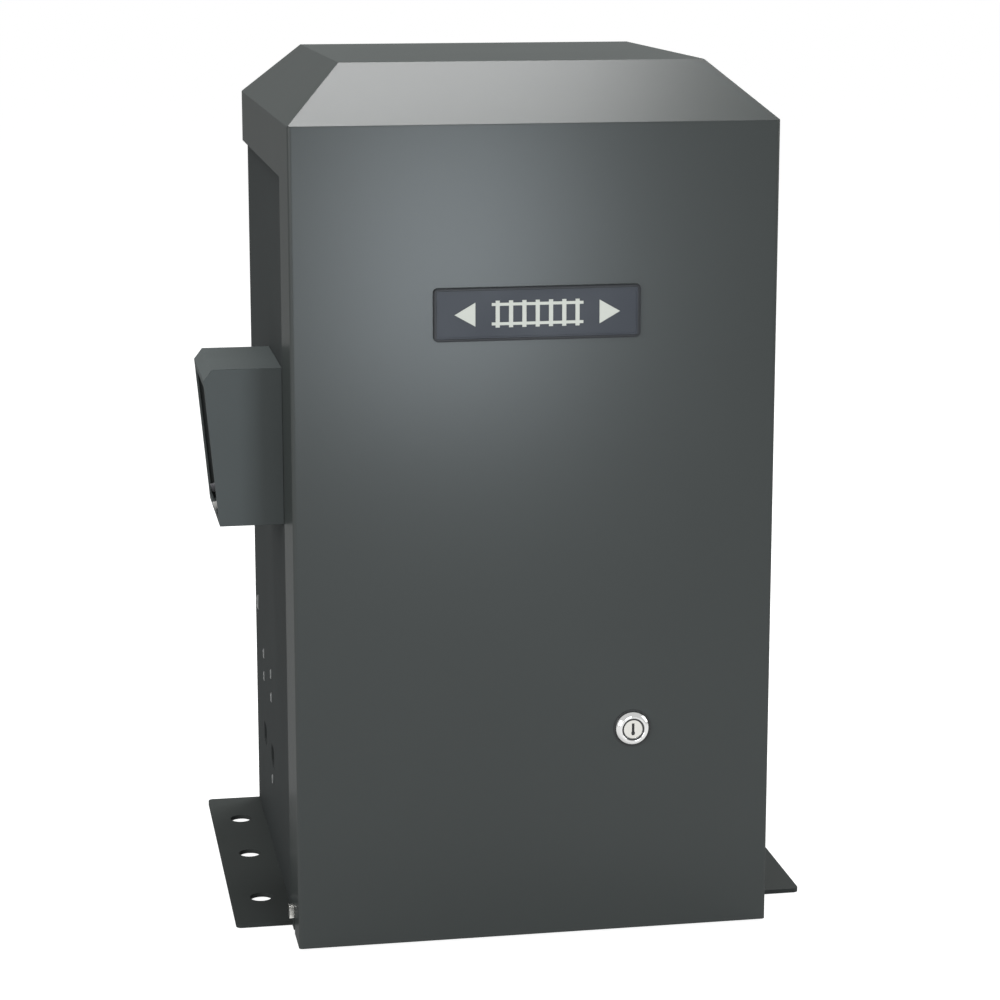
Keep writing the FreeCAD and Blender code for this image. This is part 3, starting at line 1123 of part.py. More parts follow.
# ---------------------------------------------------------------- control gear
def control_shelf():
    """Shelf between the side walls, with the upright panel that the board and relays sit on."""
    half, z, sheet = WALL_IN - 0.3, CONTROL_SHELF_Z, 2.0
    shelf = box((-half, half), (-104, 98), (z, z + sheet))
    ends = [box(x, (-104, 98), (z, z + 18)) for x in ((-half, sheet - half), (half - sheet, half))]
    panel = box((6 - half, half - 6), (-52, -50), (z, z + 122))
    whole = fused([shelf, panel] + ends)
    whole = whole.cut(box((-20, 20), (60, 90), (z - 1, z + 3)))
    studs = [rod(3, (x, -60.3, stud_z), (x, -51, stud_z)) for x, stud_z in board_corners()]
    pins = [rod(1.5, (x, -64.5, stud_z), (x, -60, stud_z)) for x, stud_z in board_corners()]
    strap = ring(23.2, 22.1, (-86, 20, z + 24), (-74, 20, z + 24))
    lugs = [box((-86, -74), y, (z + sheet - 0.5, z + 4)) for y in ((-14, 0), (40, 54))]
    strap = fused([strap] + lugs).cut(rod(22.1, (-100, 20, z + 24), (-60, 20, z + 24)))
    return fused([whole, strap] + studs + pins)


def board_corners():
    low = CONTROL_SHELF_Z + 12
    return [(BOARD_X + way * (BOARD_WIDTH / 2 - 6), z) for way in (-1, 1)
            for z in (low + 6, low + BOARD_HEIGHT - 6)]


BOARD_Z = CONTROL_SHELF_Z + 12
BOARD_FRONT = -60.35 - BOARD_SHEET


def control_board():
    half = BOARD_WIDTH / 2
    board = box((BOARD_X - half, BOARD_X + half), (BOARD_FRONT, BOARD_FRONT + BOARD_SHEET),
                (BOARD_Z, BOARD_Z + BOARD_HEIGHT))
    for x, z in board_corners():
        board = board.cut(rod(1.6, (x, -70, z), (x, -50, z)))
    return board


def on_board(x, z, width, height, tall):
    """A block standing on the board's front, by its lower left corner on the board."""
    left = BOARD_X - BOARD_WIDTH / 2 + x
    return box((left, left + width), (BOARD_FRONT - 0.05 - tall, BOARD_FRONT - 0.05),
               (BOARD_Z + z, BOARD_Z + z + height))


def board_relays():
    blocks = [on_board(16 + 23 * k, 58, 19, 26, 16) for k in range(4)]
    return group([rounded(b, 1.0, lambda edge: runs_along(edge, Y_AXIS)) for b in blocks])


def board_terminals():
    """Two rows of screw terminals."""
    rows = []
    for x, count in ((14, 14), (14 + 14 * 7.5 + 8, 6)):
        row = on_board(x, 8, 7.5 * count - 2, 11, 11)
        for k in range(count):
            wire = on_board(x + 1.2 + 7.5 * k, 7, 4, 4, 5)
            row = row.cut(wire)
        rows.append(row)
    return group(rows)


def board_parts():
    """Controller, drivers, fuse, electrolytics and the two push buttons' bodies."""
    blocks = [on_board(120, 34, 22, 22, 2.4), on_board(90, 36, 16, 7, 3), on_board(66, 36, 16, 7, 3),
              on_board(30, 36, 26, 9, 9), on_board(150, 60, 12, 12, 5), on_board(166, 60, 12, 12, 5)]
    for x, z in ((120, 76), (136, 76)):
        left = BOARD_X - BOARD_WIDTH / 2 + x
        blocks.append(rod(6, (left, BOARD_FRONT - 0.05, BOARD_Z + z), (left, BOARD_FRONT - 20, BOARD_Z + z)))
    return group(blocks)


def contactors():
    pair = []
    for x in (58, 106):
        z = CONTROL_SHELF_Z + 20
        back = -52.05
        base = box((x, x + 42), (back - 30, back), (z, z + 76))
        nose = box((x + 3, x + 39), (back - 52, back - 29), (z + 16, z + 60))
        body = rounded(fused([base, nose]), 1.5, lambda edge: runs_along(edge, Y_AXIS))
        pair.append(body)
    return group(pair)


def transformer():
    """Laminated core on feet, with its winding."""
    x, y, z = 40.0, -30.0, CONTROL_SHELF_Z + 2.05
    core = box((x, x + 74), (y + 16, y + 46), (z, z + 62))
    for left in (x + 12, x + 44):
        core = core.cut(box((left, left + 18), (y, y + 80), (z + 12, z + 50)))
    winding = box((x + 13, x + 61), (y, y + 62), (z + 12.2, z + 49.8))
    winding = rounded(winding, 8.0, lambda edge: runs_along(edge, Z_AXIS))
    hollow = box((x + 29.9, x + 44.1), (y + 15.9, y + 46.1), (z, z + 60))
    return group([core, winding.cut(hollow)])


def run_capacitor():
    z = CONTROL_SHELF_Z + 24
    can = rod(22, (-134, 20, z), (-36, 20, z))
    can = rounded(can, 2.0, lambda edge: isinstance(edge.Curve, Part.Circle))
    tabs = [box((-37, -26), (20 + y, 23 + y), (z - 3, z + 3)) for y in (-9, 6)]
    return fused([can] + tabs)


# ---------------------------------------------------------------- the parts
PARTS = {
    "base_plate": base_plate,
    "left_side_wall": lambda: side_wall(False),
    "right_side_wall": lambda: side_wall(True),
    "rear_wall": rear_wall,
    "front_rail": front_rail,
    "cover_studs": cover_studs,
    "hood": hood,
    "name_plate": name_plate,
    "name_plate_motif": plate_motif,
    "lock_body": lock_body,
    "lock_plug": lock_plug,
    "lock_cam": lock_cam,
    "drive_plate": drive_plate,
    "gear_housing": gear_housing,
    "gear_cover": gear_cover,
    "bearings": lambda: group([output_bearings(), worm_bearings(), motor_bearings()]),
    "worm_caps": worm_caps,
    "output_shaft": output_shaft,
    "worm_wheel": worm_wheel,
    "worm_shaft": worm_shaft,
    "drive_sprocket": drive_sprocket,
    "limit_pinion": limit_pinion,
    "driven_pulley": lambda: pulley(DRIVEN_PULLEY_R, WORM_Z, WORM_SHAFT_R + 0.02, 16.0),
    "motor_pulley": lambda: pulley(MOTOR_PULLEY_R, MOTOR_Z, MOTOR_SHAFT_R + 0.02),
    "v_belt": v_belt,
    "motor_shelf": motor_shelf,
    "shelf_posts": shelf_posts,
    "motor_stator": motor_stator,
    "motor_bells": motor_bells,
    "fan_cowl": fan_cowl,
    "cooling_fan": cooling_fan,
    "rotor_shaft": rotor_shaft,
    "idler_bracket_left": lambda: idler_bracket(False),
    "idler_bracket_right": lambda: idler_bracket(True),
    "idler_wheel_left": lambda: idler_wheel(False),
    "idler_wheel_right": lambda: idler_wheel(True),
    "limit_bracket": limit_bracket,
    "limit_screw": limit_screw,
    "limit_gear": limit_gear,
    "limit_nut_front": lambda: limit_nut(LIMIT_NUT_Y[0]),
    "limit_nut_rear": lambda: limit_nut(LIMIT_NUT_Y[1]),
    "limit_switches": limit_switches,
    "switch_lever_front": lambda: switch_lever(False),
    "switch_lever_rear": lambda: switch_lever(True),
    "outlet_box": outlet_box,
    "outlet_panel": outlet_panel,
    "outlet": outlet,
    "toggle_body": toggle_body,
    "toggle_upper": lambda: toggle_lever(0),
    "toggle_lower": lambda: toggle_lever(1),
    "control_shelf": control_shelf,
    "control_board": control_board,
    "board_relays": board_relays,
    "board_terminals": board_terminals,
    "board_parts": board_parts,
    "contactors": contactors,
    "transformer": transformer,
    "run_capacitor": run_capacitor,
}


def main():
    os.makedirs("parts", exist_ok=True)
    for name, make in PARTS.items():
        shape = make()
        valid = shape.isValid() and all(s.Volume > 0 for s in shape.Solids)
        print(name, len(shape.Solids), round(shape.Volume), "" if valid else "NOT VALID")
        shape.exportStep("parts/" + name + ".step")


main()
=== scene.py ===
"""Looks of the sliding gate motor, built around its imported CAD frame. Lengths are in metres."""
import json
import math

import bmesh
import bpy
from mathutils import Matrix, Vector


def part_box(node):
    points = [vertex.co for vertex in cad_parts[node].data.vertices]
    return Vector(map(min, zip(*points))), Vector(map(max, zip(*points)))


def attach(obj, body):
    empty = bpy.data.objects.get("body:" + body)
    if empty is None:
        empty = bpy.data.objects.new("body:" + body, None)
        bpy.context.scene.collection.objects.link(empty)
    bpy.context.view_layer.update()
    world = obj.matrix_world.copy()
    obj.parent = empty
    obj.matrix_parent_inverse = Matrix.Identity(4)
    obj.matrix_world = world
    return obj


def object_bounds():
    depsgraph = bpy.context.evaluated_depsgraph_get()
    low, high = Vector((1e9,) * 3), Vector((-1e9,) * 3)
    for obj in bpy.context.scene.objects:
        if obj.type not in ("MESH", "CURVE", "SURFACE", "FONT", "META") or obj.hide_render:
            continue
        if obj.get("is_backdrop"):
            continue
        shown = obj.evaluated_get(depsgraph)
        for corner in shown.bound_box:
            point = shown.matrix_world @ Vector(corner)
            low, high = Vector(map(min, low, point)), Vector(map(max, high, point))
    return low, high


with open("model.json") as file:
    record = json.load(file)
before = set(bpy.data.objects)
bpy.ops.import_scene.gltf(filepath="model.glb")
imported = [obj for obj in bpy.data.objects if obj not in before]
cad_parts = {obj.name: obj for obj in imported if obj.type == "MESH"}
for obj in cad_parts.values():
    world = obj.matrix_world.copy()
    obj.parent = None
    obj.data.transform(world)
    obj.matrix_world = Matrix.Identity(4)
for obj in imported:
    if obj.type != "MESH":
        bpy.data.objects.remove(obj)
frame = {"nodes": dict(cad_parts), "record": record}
cad_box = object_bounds()
NODES = frame["nodes"]
RECORD = frame["record"]
SLOT_OF = {s["node"]: s["material_slot"] for s in RECORD["subparts"]}
JOINT_AT = {j["name"]: j["pos_m"] for j in RECORD["behaviour"]["joints"] if "pos_m" in j}
OPENINGS = {o["name"]: o["box_m"] for o in RECORD["physics"]["openings"]}
MM = 0.001
WHITE = (1, 1, 1, 1)
X, Y, Z = Vector((1, 0, 0)), Vector((0, 1, 0)), Vector((0, 0, 1))


def span(node):
    """Lowest and highest corners of a node, as vectors."""
    low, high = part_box(node)
    return Vector(low), Vector(high)


# ------------------------------------------------------------ materials
def srgb(*values):
    """Linear colour from 0..255 display values, by the sRGB curve."""
    shares = [v / 255 for v in values]
    return (*[v / 12.92 if v <= 0.04045 else ((v + 0.055) / 1.055) ** 2.4 for v in shares], 1.0)


def times(colour, k):
    """A colour made k times as bright, and held at full brightness."""
    return (*[min(1.0, c * k) for c in colour[:3]], 1.0)


class Paint:
    """A node material around one Principled BSDF, with object-space patterns."""

    def __init__(self, name, **constants):
        self.material = bpy.data.materials.new(name)
        self.material.use_nodes = True
        self.tree = self.material.node_tree
        self.bsdf = self.tree.nodes["Principled BSDF"]
        self.where = self.add("ShaderNodeTexCoord").outputs["Object"]
        for key, value in constants.items():
            self.bsdf.inputs[key.replace("_", " ")].default_value = value
        MATERIALS[name] = self.material

    def add(self, kind, **settings):
        node = self.tree.nodes.new(kind)
        for key, value in settings.items():
            setattr(node, key, value)
        return node

    def link(self, output, target):
        self.tree.links.new(output, target)

    def math(self, operation, a, b=0.0):
        """One maths node on two numbers or outputs."""
        node = self.add("ShaderNodeMath", operation=operation)
        for socket, value in zip(node.inputs, (a, b)):
            if isinstance(value, (int, float)):
                socket.default_value = value
            else:
                self.link(value, socket)
        return node.outputs[0]

    def axes(self):
        split = self.add("ShaderNodeSeparateXYZ")
        self.link(self.where, split.inputs[0])
        return split.outputs

    def placed(self, scale):
        """Object coordinates stretched by a factor along each axis."""
        mapping = self.add("ShaderNodeMapping")
        mapping.inputs["Scale"].default_value = scale
        self.link(self.where, mapping.inputs["Vector"])
        return mapping.outputs[0]

    def noise(self, scale, stretch=(1, 1, 1), detail=3.0, rough=0.55):
        texture = self.add("ShaderNodeTexNoise")
        texture.inputs["Scale"].default_value = scale
        texture.inputs["Detail"].default_value = detail
        texture.inputs["Roughness"].default_value = rough
        self.link(self.placed(stretch), texture.inputs["Vector"])
        return texture.outputs["Fac"]

    def cells(self, scale):
        texture = self.add("ShaderNodeTexVoronoi")
        texture.inputs["Scale"].default_value = scale
        self.link(self.placed((1, 1, 1)), texture.inputs["Vector"])
        return texture.outputs["Distance"]

    def spread(self, value, low, high, start=0.3, end=0.7):
        """Maps start..end, the usual range of a noise, to low..high."""
        node = self.add("ShaderNodeMapRange")
        for key, number in (("From Min", start), ("From Max", end), ("To Min", low),
                            ("To Max", high)):
            node.inputs[key].default_value = number
        self.link(value, node.inputs["Value"])
        return node.outputs["Result"]

    def blend(self, value, first, second):
        """first where value is 0, second where it is 1; each a colour or another output."""
        node = self.add("ShaderNodeMix", data_type="RGBA")
        colours = [s for s in node.inputs if s.type == "RGBA"]
        self.link(value, node.inputs[0])
        for socket, colour in zip(colours, (first, second)):
            if isinstance(colour, tuple):
                socket.default_value = colour
            else:
                self.link(colour, socket)
        return [s for s in node.outputs if s.type == "RGBA"][0]

    def colour(self, output):
        self.link(output, self.bsdf.inputs["Base Color"])

    def roughness(self, value, low, high):
        self.link(self.spread(value, low, high), self.bsdf.inputs["Roughness"])

    def bump(self, value, depth, strength=1.0, edge=0.0):
        """Raised grain; edge > 0 also softens the folds by that radius."""
        node = self.add("ShaderNodeBump")
        node.inputs["Strength"].default_value = strength
        node.inputs["Distance"].default_value = depth
        self.link(value, node.inputs["Height"])
        if edge > 0:
            soft = self.add("ShaderNodeBevel", samples=BEVEL_SAMPLES)
            soft.inputs["Radius"].default_value = edge
            self.link(soft.outputs[0], node.inputs["Normal"])
        self.link(node.outputs[0], self.bsdf.inputs["Normal"])
        self.link(node.outputs[0], self.bsdf.inputs["Coat Normal"])


MATERIALS = {}
BEVEL_SAMPLES = 4
FILM_IOR = 2.4          # chosen for the look of satin paint, not measured


def coat(name, colour, rough, specular=0.3, grain=1100, depth=0.03 * MM, vary=0.05, edge=0.0,
         film=None):
    """Powder coat or paint: orange peel, with small drifts of tone and gloss.

    film is the weight and roughness of a thin satin skin over it."""
    paint = Paint(name, Specular_IOR_Level=specular)
    if film:
        for key, value in (("Coat Weight", film[0]), ("Coat Roughness", film[1]),
                           ("Coat IOR", FILM_IOR)):
            paint.bsdf.inputs[key].default_value = value
    drift = paint.spread(paint.noise(7, detail=4), 0.0, 1.0)
    paint.colour(paint.blend(drift, times(colour, 1 - vary), times(colour, 1 + vary)))
    paint.roughness(paint.noise(30), rough - 0.03, rough + 0.03)
    paint.bump(paint.noise(grain, detail=2), depth, 0.3, edge)


def metal(name, colour, rough=0.3, stretch=(1, 1, 1), scale=300, depth=0.01 * MM, vary=0.12,
          edge=0.0):
    """Bare or plated metal with a drawn, turned or ground grain."""
    paint = Paint(name, Metallic=1.0)
    grain = paint.noise(scale, stretch, detail=5, rough=0.6)
    shade = paint.spread(grain, 0, 1)
    paint.colour(paint.blend(shade, times(colour, 1 - vary), times(colour, 1 + vary / 2)))
    paint.roughness(paint.noise(60), rough - 0.05, rough + 0.08)
    paint.bump(grain, depth, 0.4, edge)


def plastic(name, colour, rough=0.5, grain=2500, depth=0.02 * MM, vary=0.06, specular=0.4):
    """Moulded plastic with a spark-eroded texture."""
    paint = Paint(name, Specular_IOR_Level=specular)
    tone = paint.spread(paint.noise(35), 0.0, 1.0)
    paint.colour(paint.blend(tone, times(colour, 1 - vary), times(colour, 1 + vary)))
    paint.roughness(paint.noise(120), rough - 0.05, rough + 0.06)
    paint.bump(paint.noise(grain, detail=2), depth, 0.3)


def zinc(name):
    """Zinc plate: a faint spangle with warm and cool drifts over rolled steel."""
    paint = Paint(name, Metallic=1.0)
    drift = paint.spread(paint.noise(14, detail=5), 0.0, 1.0)
    film = paint.blend(drift, srgb(172, 176, 180), srgb(190, 187, 168))
    rolled = paint.noise(90, (1, 1, 0.08), detail=6)
    paint.colour(paint.blend(paint.spread(rolled, 0, 0.35), film, srgb(140, 142, 144)))
    paint.roughness(paint.noise(45), 0.34, 0.5)
    paint.bump(rolled, 0.01 * MM, 0.3, 0.5 * MM)


def threaded(name, colour, pitch, node):
    """Turned steel with a thread drawn round the Y axis through a node's middle; its grooves are
    painted darker, as painted shade.
    """
    low, high = span(node)
    middle = (low + high) / 2
    paint = Paint(name, Metallic=1.0)
    x, y, z = paint.axes()
    angle = paint.math("ARCTAN2", paint.math("SUBTRACT", z, middle.z),
                       paint.math("SUBTRACT", x, middle.x))
    turns = paint.math("ADD", paint.math("DIVIDE", y, pitch),
                       paint.math("DIVIDE", angle, 2 * math.pi))
    groove = paint.math("PINGPONG", turns, 0.5)
    # the grooves are darkened to 0.45 of the colour: painted shade in the thread
    paint.colour(paint.blend(paint.spread(groove, 0, 1, 0.0, 0.5), times(colour, 0.45), colour))
    paint.roughness(paint.noise(80), 0.25, 0.4)
    paint.bump(groove, pitch / 2)


def circuit_board(name):
    """Green solder mask over copper runs, with tinned dots."""
    paint = Paint(name, Specular_IOR_Level=0.5)
    x, _, z = paint.axes()
    step, run_width = 2.54 * MM, 0.32 * MM

    def runs(across, along):
        """1 on parallel runs, which jog sideways every nine steps."""
        jog = paint.math("MULTIPLY", paint.math("SNAP", along, 9 * step), 3.7)
        distance = paint.math("PINGPONG", paint.math("ADD", across, jog), step / 2)
        return paint.math("LESS_THAN", distance, run_width)

    zone = paint.math("GREATER_THAN", paint.noise(38, detail=0), 0.5)
    trace = paint.blend(zone, runs(z, x), runs(x, z))
    copper = paint.blend(trace, srgb(16, 70, 42), srgb(34, 108, 62))
    dots = paint.math("LESS_THAN", paint.cells(190), 0.16)
    paint.colour(paint.blend(dots, copper, srgb(190, 190, 178)))
    paint.roughness(paint.noise(60), 0.24, 0.34)
    paint.bump(trace, 0.04 * MM, 0.5)


def laminated(name, node):
    """Stacked core sheets, and taped copper where the winding stands proud of the core."""
    low, high = span(node)
    middle, core_half = (low.y + high.y) / 2, 15.3 * MM
    paint = Paint(name)
    _, y, z = paint.axes()
    offset = paint.math("ABSOLUTE", paint.math("SUBTRACT", y, middle))
    proud = paint.math("GREATER_THAN", offset, core_half)
    sheet = 0.35 * MM
    sheets = paint.math("PINGPONG", y, sheet)
    steel = paint.blend(paint.spread(sheets, 0, 1, 0, sheet), srgb(34, 32, 31), srgb(92, 86, 80))
    slant = paint.math("ADD", z, paint.math("MULTIPLY", y, 0.2))
    wraps = paint.math("PINGPONG", slant, 5.5 * MM)
    lapped = paint.spread(wraps, 0, 1, 0.4 * MM, 1.2 * MM)
    tape = paint.blend(lapped, srgb(120, 92, 30), srgb(196, 160, 62))
    paint.colour(paint.blend(proud, steel, tape))
    paint.roughness(paint.noise(50), 0.35, 0.5)
    paint.bump(sheets, 0.25 * MM, 0.6)


def belt(name):
    """Black rubber with a woven cover."""
    paint = Paint(name, Specular_IOR_Level=0.3)
    weave = paint.cells(1400)
    thread = paint.spread(weave, 0, 1, 0.1, 0.7)
    paint.colour(paint.blend(thread, srgb(18, 18, 19), srgb(44, 44, 45)))
    paint.roughness(paint.noise(200), 0.68, 0.82)
    paint.bump(weave, 0.08 * MM, 0.5)


coat("cover_coat", srgb(54, 58, 57), 0.5, 0.0, edge=0.9 * MM, vary=0.03, film=(0.13, 0.27))
coat("dark_powder_coat", srgb(56, 59, 59), 0.6, 0.0, edge=0.7 * MM, film=(0.05, 0.5))
coat("chassis_coat", srgb(52, 55, 54), 0.6, 0.0, edge=0.5 * MM, film=(0.05, 0.5))
# box_coat: a lighter copy of the dark coat, painted light for the box front that the hood shades
coat("box_coat", srgb(76, 81, 81), 0.55, 0.0, edge=0.7 * MM, film=(0.08, 0.4))
coat("outlet_panel_coat", srgb(24, 26, 26), 0.6, 0.05, edge=0.3 * MM)
coat("gear_case_paint", srgb(84, 96, 106), 0.45, 0.4, grain=380, depth=0.25 * MM, vary=0.08,
     edge=0.8 * MM)
coat("cast_iron", srgb(50, 51, 52), 0.5, 0.4, grain=420, depth=0.2 * MM, vary=0.1,
     edge=0.4 * MM)
coat("motor_paint", srgb(38, 42, 46), 0.34, 0.5, grain=700, depth=0.04 * MM, vary=0.06,
     edge=0.6 * MM)
zinc("zinc_plated_steel")
metal("bright_screws", srgb(205, 205, 200), 0.25, edge=0.2 * MM)
coat("name_plate_black", srgb(42, 46, 54), 0.42, 0.3, grain=900, depth=0.01 * MM, vary=0.03)
coat("name_plate_rim", srgb(26, 28, 32), 0.4, 0.3, grain=900, depth=0.01 * MM, vary=0.03)
coat("name_plate_silver", srgb(204, 206, 197), 0.4, 0.3, grain=700, depth=0.01 * MM,
     vary=0.03, edge=0.25 * MM)
metal("lock_chrome", srgb(200, 200, 199), 0.07, depth=0.003 * MM, vary=0.03, edge=0.25 * MM)
metal("lock_plug_chrome", srgb(196, 195, 190), 0.14, depth=0.003 * MM, vary=0.05, edge=0.2 * MM)
metal("bearing_steel", srgb(170, 172, 174), 0.25)
metal("turned_steel", srgb(182, 182, 180), 0.3, (1, 9, 1), scale=220, depth=0.02 * MM,
      edge=0.3 * MM)
metal("bronze", srgb(196, 150, 88), 0.32, (1, 6, 1), scale=200)
belt("belt_rubber")
metal("motor_bell_aluminium", srgb(166, 168, 169), 0.48, scale=420, depth=0.12 * MM,
      edge=0.5 * MM)
plastic("black_plastic", srgb(28, 28, 29), 0.48)
plastic("idler_nylon", srgb(44, 44, 46), 0.42, grain=600, depth=0.04 * MM)
plastic("white_nylon", srgb(222, 220, 208), 0.42)
metal("spring_steel", srgb(190, 190, 186), 0.28, (1, 1, 0.2))
plastic("outlet_plastic", srgb(92, 93, 95), 0.38)
# toggle_grey is a darker copy of the white toggle plastic: painted shade on the far toggle, which
# sits in shade
plastic("toggle_grey", srgb(82, 83, 86), 0.5, specular=0.2)
plastic("toggle_white", srgb(186, 186, 183), 0.5, specular=0.2)
circuit_board("board_green")
plastic("relay_blue", srgb(36, 86, 168), 0.3)
plastic("terminal_green", srgb(44, 128, 70), 0.42)
plastic("contactor_plastic", srgb(66, 68, 71), 0.42, grain=1200, depth=0.03 * MM)
laminated("transformer_steel", "transformer")
metal("capacitor_can", srgb(196, 197, 198), 0.28, (0.1, 1, 1), scale=500)
threaded("screw_thread", srgb(186, 186, 184), 1.5 * MM, "limit_screw")
coat("painted_screw", srgb(74, 77, 77), 0.42, 0.2, edge=0.15 * MM)
coat("label_paper", srgb(196, 197, 192), 0.55, 0.3, grain=1800, depth=0.01 * MM)
plastic("led_green", srgb(70, 190, 90), 0.2)
plastic("led_red", srgb(200, 44, 38), 0.2)
metal("tinned_pads", srgb(205, 206, 204), 0.3, scale=900)

# nodes with a finish of their own in place of their slot's; the outlet box gets box_coat, a
# lighter copy of the dark coat that paints light onto the box front where the hood shades it
OWN_PAINT = {"limit_screw": "screw_thread", "outlet_box": "box_coat"}
for node, part in NODES.items():
    shown = MATERIALS[OWN_PAINT.get(node, SLOT_OF[node])]
    if not part.data.materials:
        part.data.materials.append(shown)
    for k in range(len(part.data.materials)):
        part.data.materials[k] = shown


# ------------------------------------------------------------ small pieces
def new_object(name, bm, material, body, smooth=35):
    """Ends a mesh: links it, gives it its finish and lets it ride on a body."""
    mesh = bpy.data.meshes.new(name)
    bmesh.ops.recalc_face_normals(bm, faces=bm.faces)
    bm.to_mesh(mesh)
    bm.free()
    part = bpy.data.objects.new(name, mesh)
    bpy.context.scene.collection.objects.link(part)
    mesh.materials.append(MATERIALS[material])
    mesh.shade_smooth()
    mesh.set_sharp_from_angle(angle=math.radians(smooth))
    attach(part, body)
    return part


def lathe(bm, profile, steps=28):
    """Turns (radius, height) points about +Z into a closed skin, and gives its vertices."""
    rings = []
    for radius, height in profile:
        if radius == 0:
            rings.append([bm.verts.new((0, 0, height))])
            continue
        angles = [2 * math.pi * k / steps for k in range(steps)]
        rings.append([bm.verts.new((radius * math.cos(angle), radius * math.sin(angle), height))
                      for angle in angles])
    for low, high in zip(rings, rings[1:]):
        for k in range(steps):
            corners = [low[k % len(low)], low[(k + 1) % len(low)],
                       high[(k + 1) % len(high)], high[k % len(high)]]
            corners = list(dict.fromkeys(corners))
            if len(corners) > 2:
                bm.faces.new(corners)
    return [v for ring in rings for v in ring]


def block(bm, low, high):
    """A box between two corners, with its edges cut back a little."""
    low, high = Vector(low), Vector(high)
    size = high - low
    place = Matrix.LocRotScale((low + high) / 2, None, size)
    made = bmesh.ops.create_cube(bm, size=1.0, matrix=place)
    edges = list({e for v in made["verts"] for e in v.link_edges})
    bmesh.ops.bevel(bm, geom=edges, offset=min(size) * 0.12, segments=2, affect="EDGES")


def turned_to(normal):
    """The turn that takes +Z to a direction."""
    return Z.rotation_difference(Vector(normal)).to_matrix().to_4x4()


def pan_head(bm, r):
    """A domed head with a round recess."""
    return lathe(bm, [(0, 0), (r, 0), (r, 0.16 * r), (0.9 * r, 0.4 * r), (0.66 * r, 0.58 * r),
                      (0.3 * r, 0.66 * r), (0.14 * r, 0.3 * r), (0, 0.24 * r)])


def flush_head(bm, r):
    """A low countersunk head, nearly level with its sheet."""
    return lathe(bm, [(0, 0), (r, 0), (0.96 * r, 0.12 * r), (0.8 * r, 0.2 * r),
                      (0.3 * r, 0.22 * r), (0.2 * r, 0.05 * r), (0, 0.04 * r)])


def hex_head(bm, flats):
    """A hexagon head with its chamfer, on a washer."""
    corner = flats / math.sqrt(3)
    made = lathe(bm, [(0, 0), (corner * 1.3, 0), (corner * 1.3, flats * 0.1),
                      (corner, flats * 0.13)])
    made += lathe(bm, [(0, flats * 0.1), (corner, flats * 0.1), (corner, flats * 0.58),
                       (corner * 0.9, flats * 0.66), (0, flats * 0.66)], 6)
    return made


def fasteners(name, shape, size, places, body="frame", material="bright_screws"):
    """One piece that holds every (place, outward direction) of one kind of screw."""
    bm = bmesh.new()
    for at, normal in places:
        made = shape(bm, size)
        bmesh.ops.transform(bm, matrix=Matrix.Translation(at) @ turned_to(normal), verts=made)
    return new_object(name, bm, material, body)


def wall_screws():
    """Painted heads outside each side wall: five at the idler bracket, one at the rear wall."""
    low, high = span("idler_bracket_right")
    rear, _ = span("rear_wall")
    windows = [OPENINGS["chain_window_left_" + end] for end in ("front", "rear")]
    window_y = [(box[0][1] + box[1][1]) / 2 for box in windows]
    drops_from_top, drop_from_bottom = (10 * MM, 28 * MM), 34 * MM
    rear_inset, rear_height = 11 * MM, 170 * MM
    for side, tag in ((-1, "left"), (1, "right")):
        wall_low, wall_high = span(tag + "_side_wall")
        x = wall_low.x if side < 0 else wall_high.x
        bracket = [(Vector((x, y, high.z - drop)), X * side) for y in window_y
                   for drop in drops_from_top]
        bracket.append((Vector((x, window_y[0], low.z - drop_from_bottom)), X * side))
        fasteners(f"bracket_screws_{tag}", flush_head, 3.8 * MM, bracket, material="painted_screw")
        rear_place = Vector((x, rear.y + rear_inset, rear_height))
        fasteners(f"rear_screw_{tag}", flush_head, 5.8 * MM, [(rear_place, X * side)],
                  material="painted_screw")


def base_bolts():
    """Heads on the foot flanges of the walls and of the drive plate."""
    base, wall, rear, plate = [span(node)[1] for node in ("base_plate", "right_side_wall",
                                                          "rear_wall", "drive_plate")]
    wall_flange, plate_flange = 2 * MM, 4 * MM
    top = base.z + wall_flange
    places = [(Vector((side * (wall.x - 8 * MM), y, top)), Z) for side in (-1, 1)
              for y in (-110 * MM, -10 * MM, 82 * MM)]
    places += [(Vector((x, rear.y - 9 * MM, top)), Z) for x in (-110 * MM, 0.0, 110 * MM)]
    fasteners("chassis_bolts", hex_head, 8 * MM, places)
    places = [(Vector((x, plate.y - 14 * MM, base.z + plate_flange)), Z)
              for x in (-78 * MM, -34 * MM, 34 * MM, 78 * MM)]
    fasteners("drive_plate_bolts", hex_head, 13 * MM, places)


def reducer_bolts():
    """Flange bolts of the gear housing, and the ring of bolts round its cover."""
    back = span("gear_housing")[1].y - 8 * MM
    axis_z = JOINT_AT["output_spin"][2]
    flange = [(Vector((x, back, axis_z + z)), -Y) for x in (-58 * MM, 58 * MM)
              for z in (-54 * MM, 54 * MM)]
    fasteners("housing_bolts", hex_head, 10 * MM, flange)
    face = span("gear_cover")[0].y + 13 * MM
    ring_radius, count = 52 * MM, 6
    ring = [(Vector((ring_radius * math.cos(a), face, axis_z + ring_radius * math.sin(a))), -Y)
            for a in (2 * math.pi * k / count for k in range(count))]
    fasteners("gear_cover_bolts", hex_head, 7 * MM, ring)


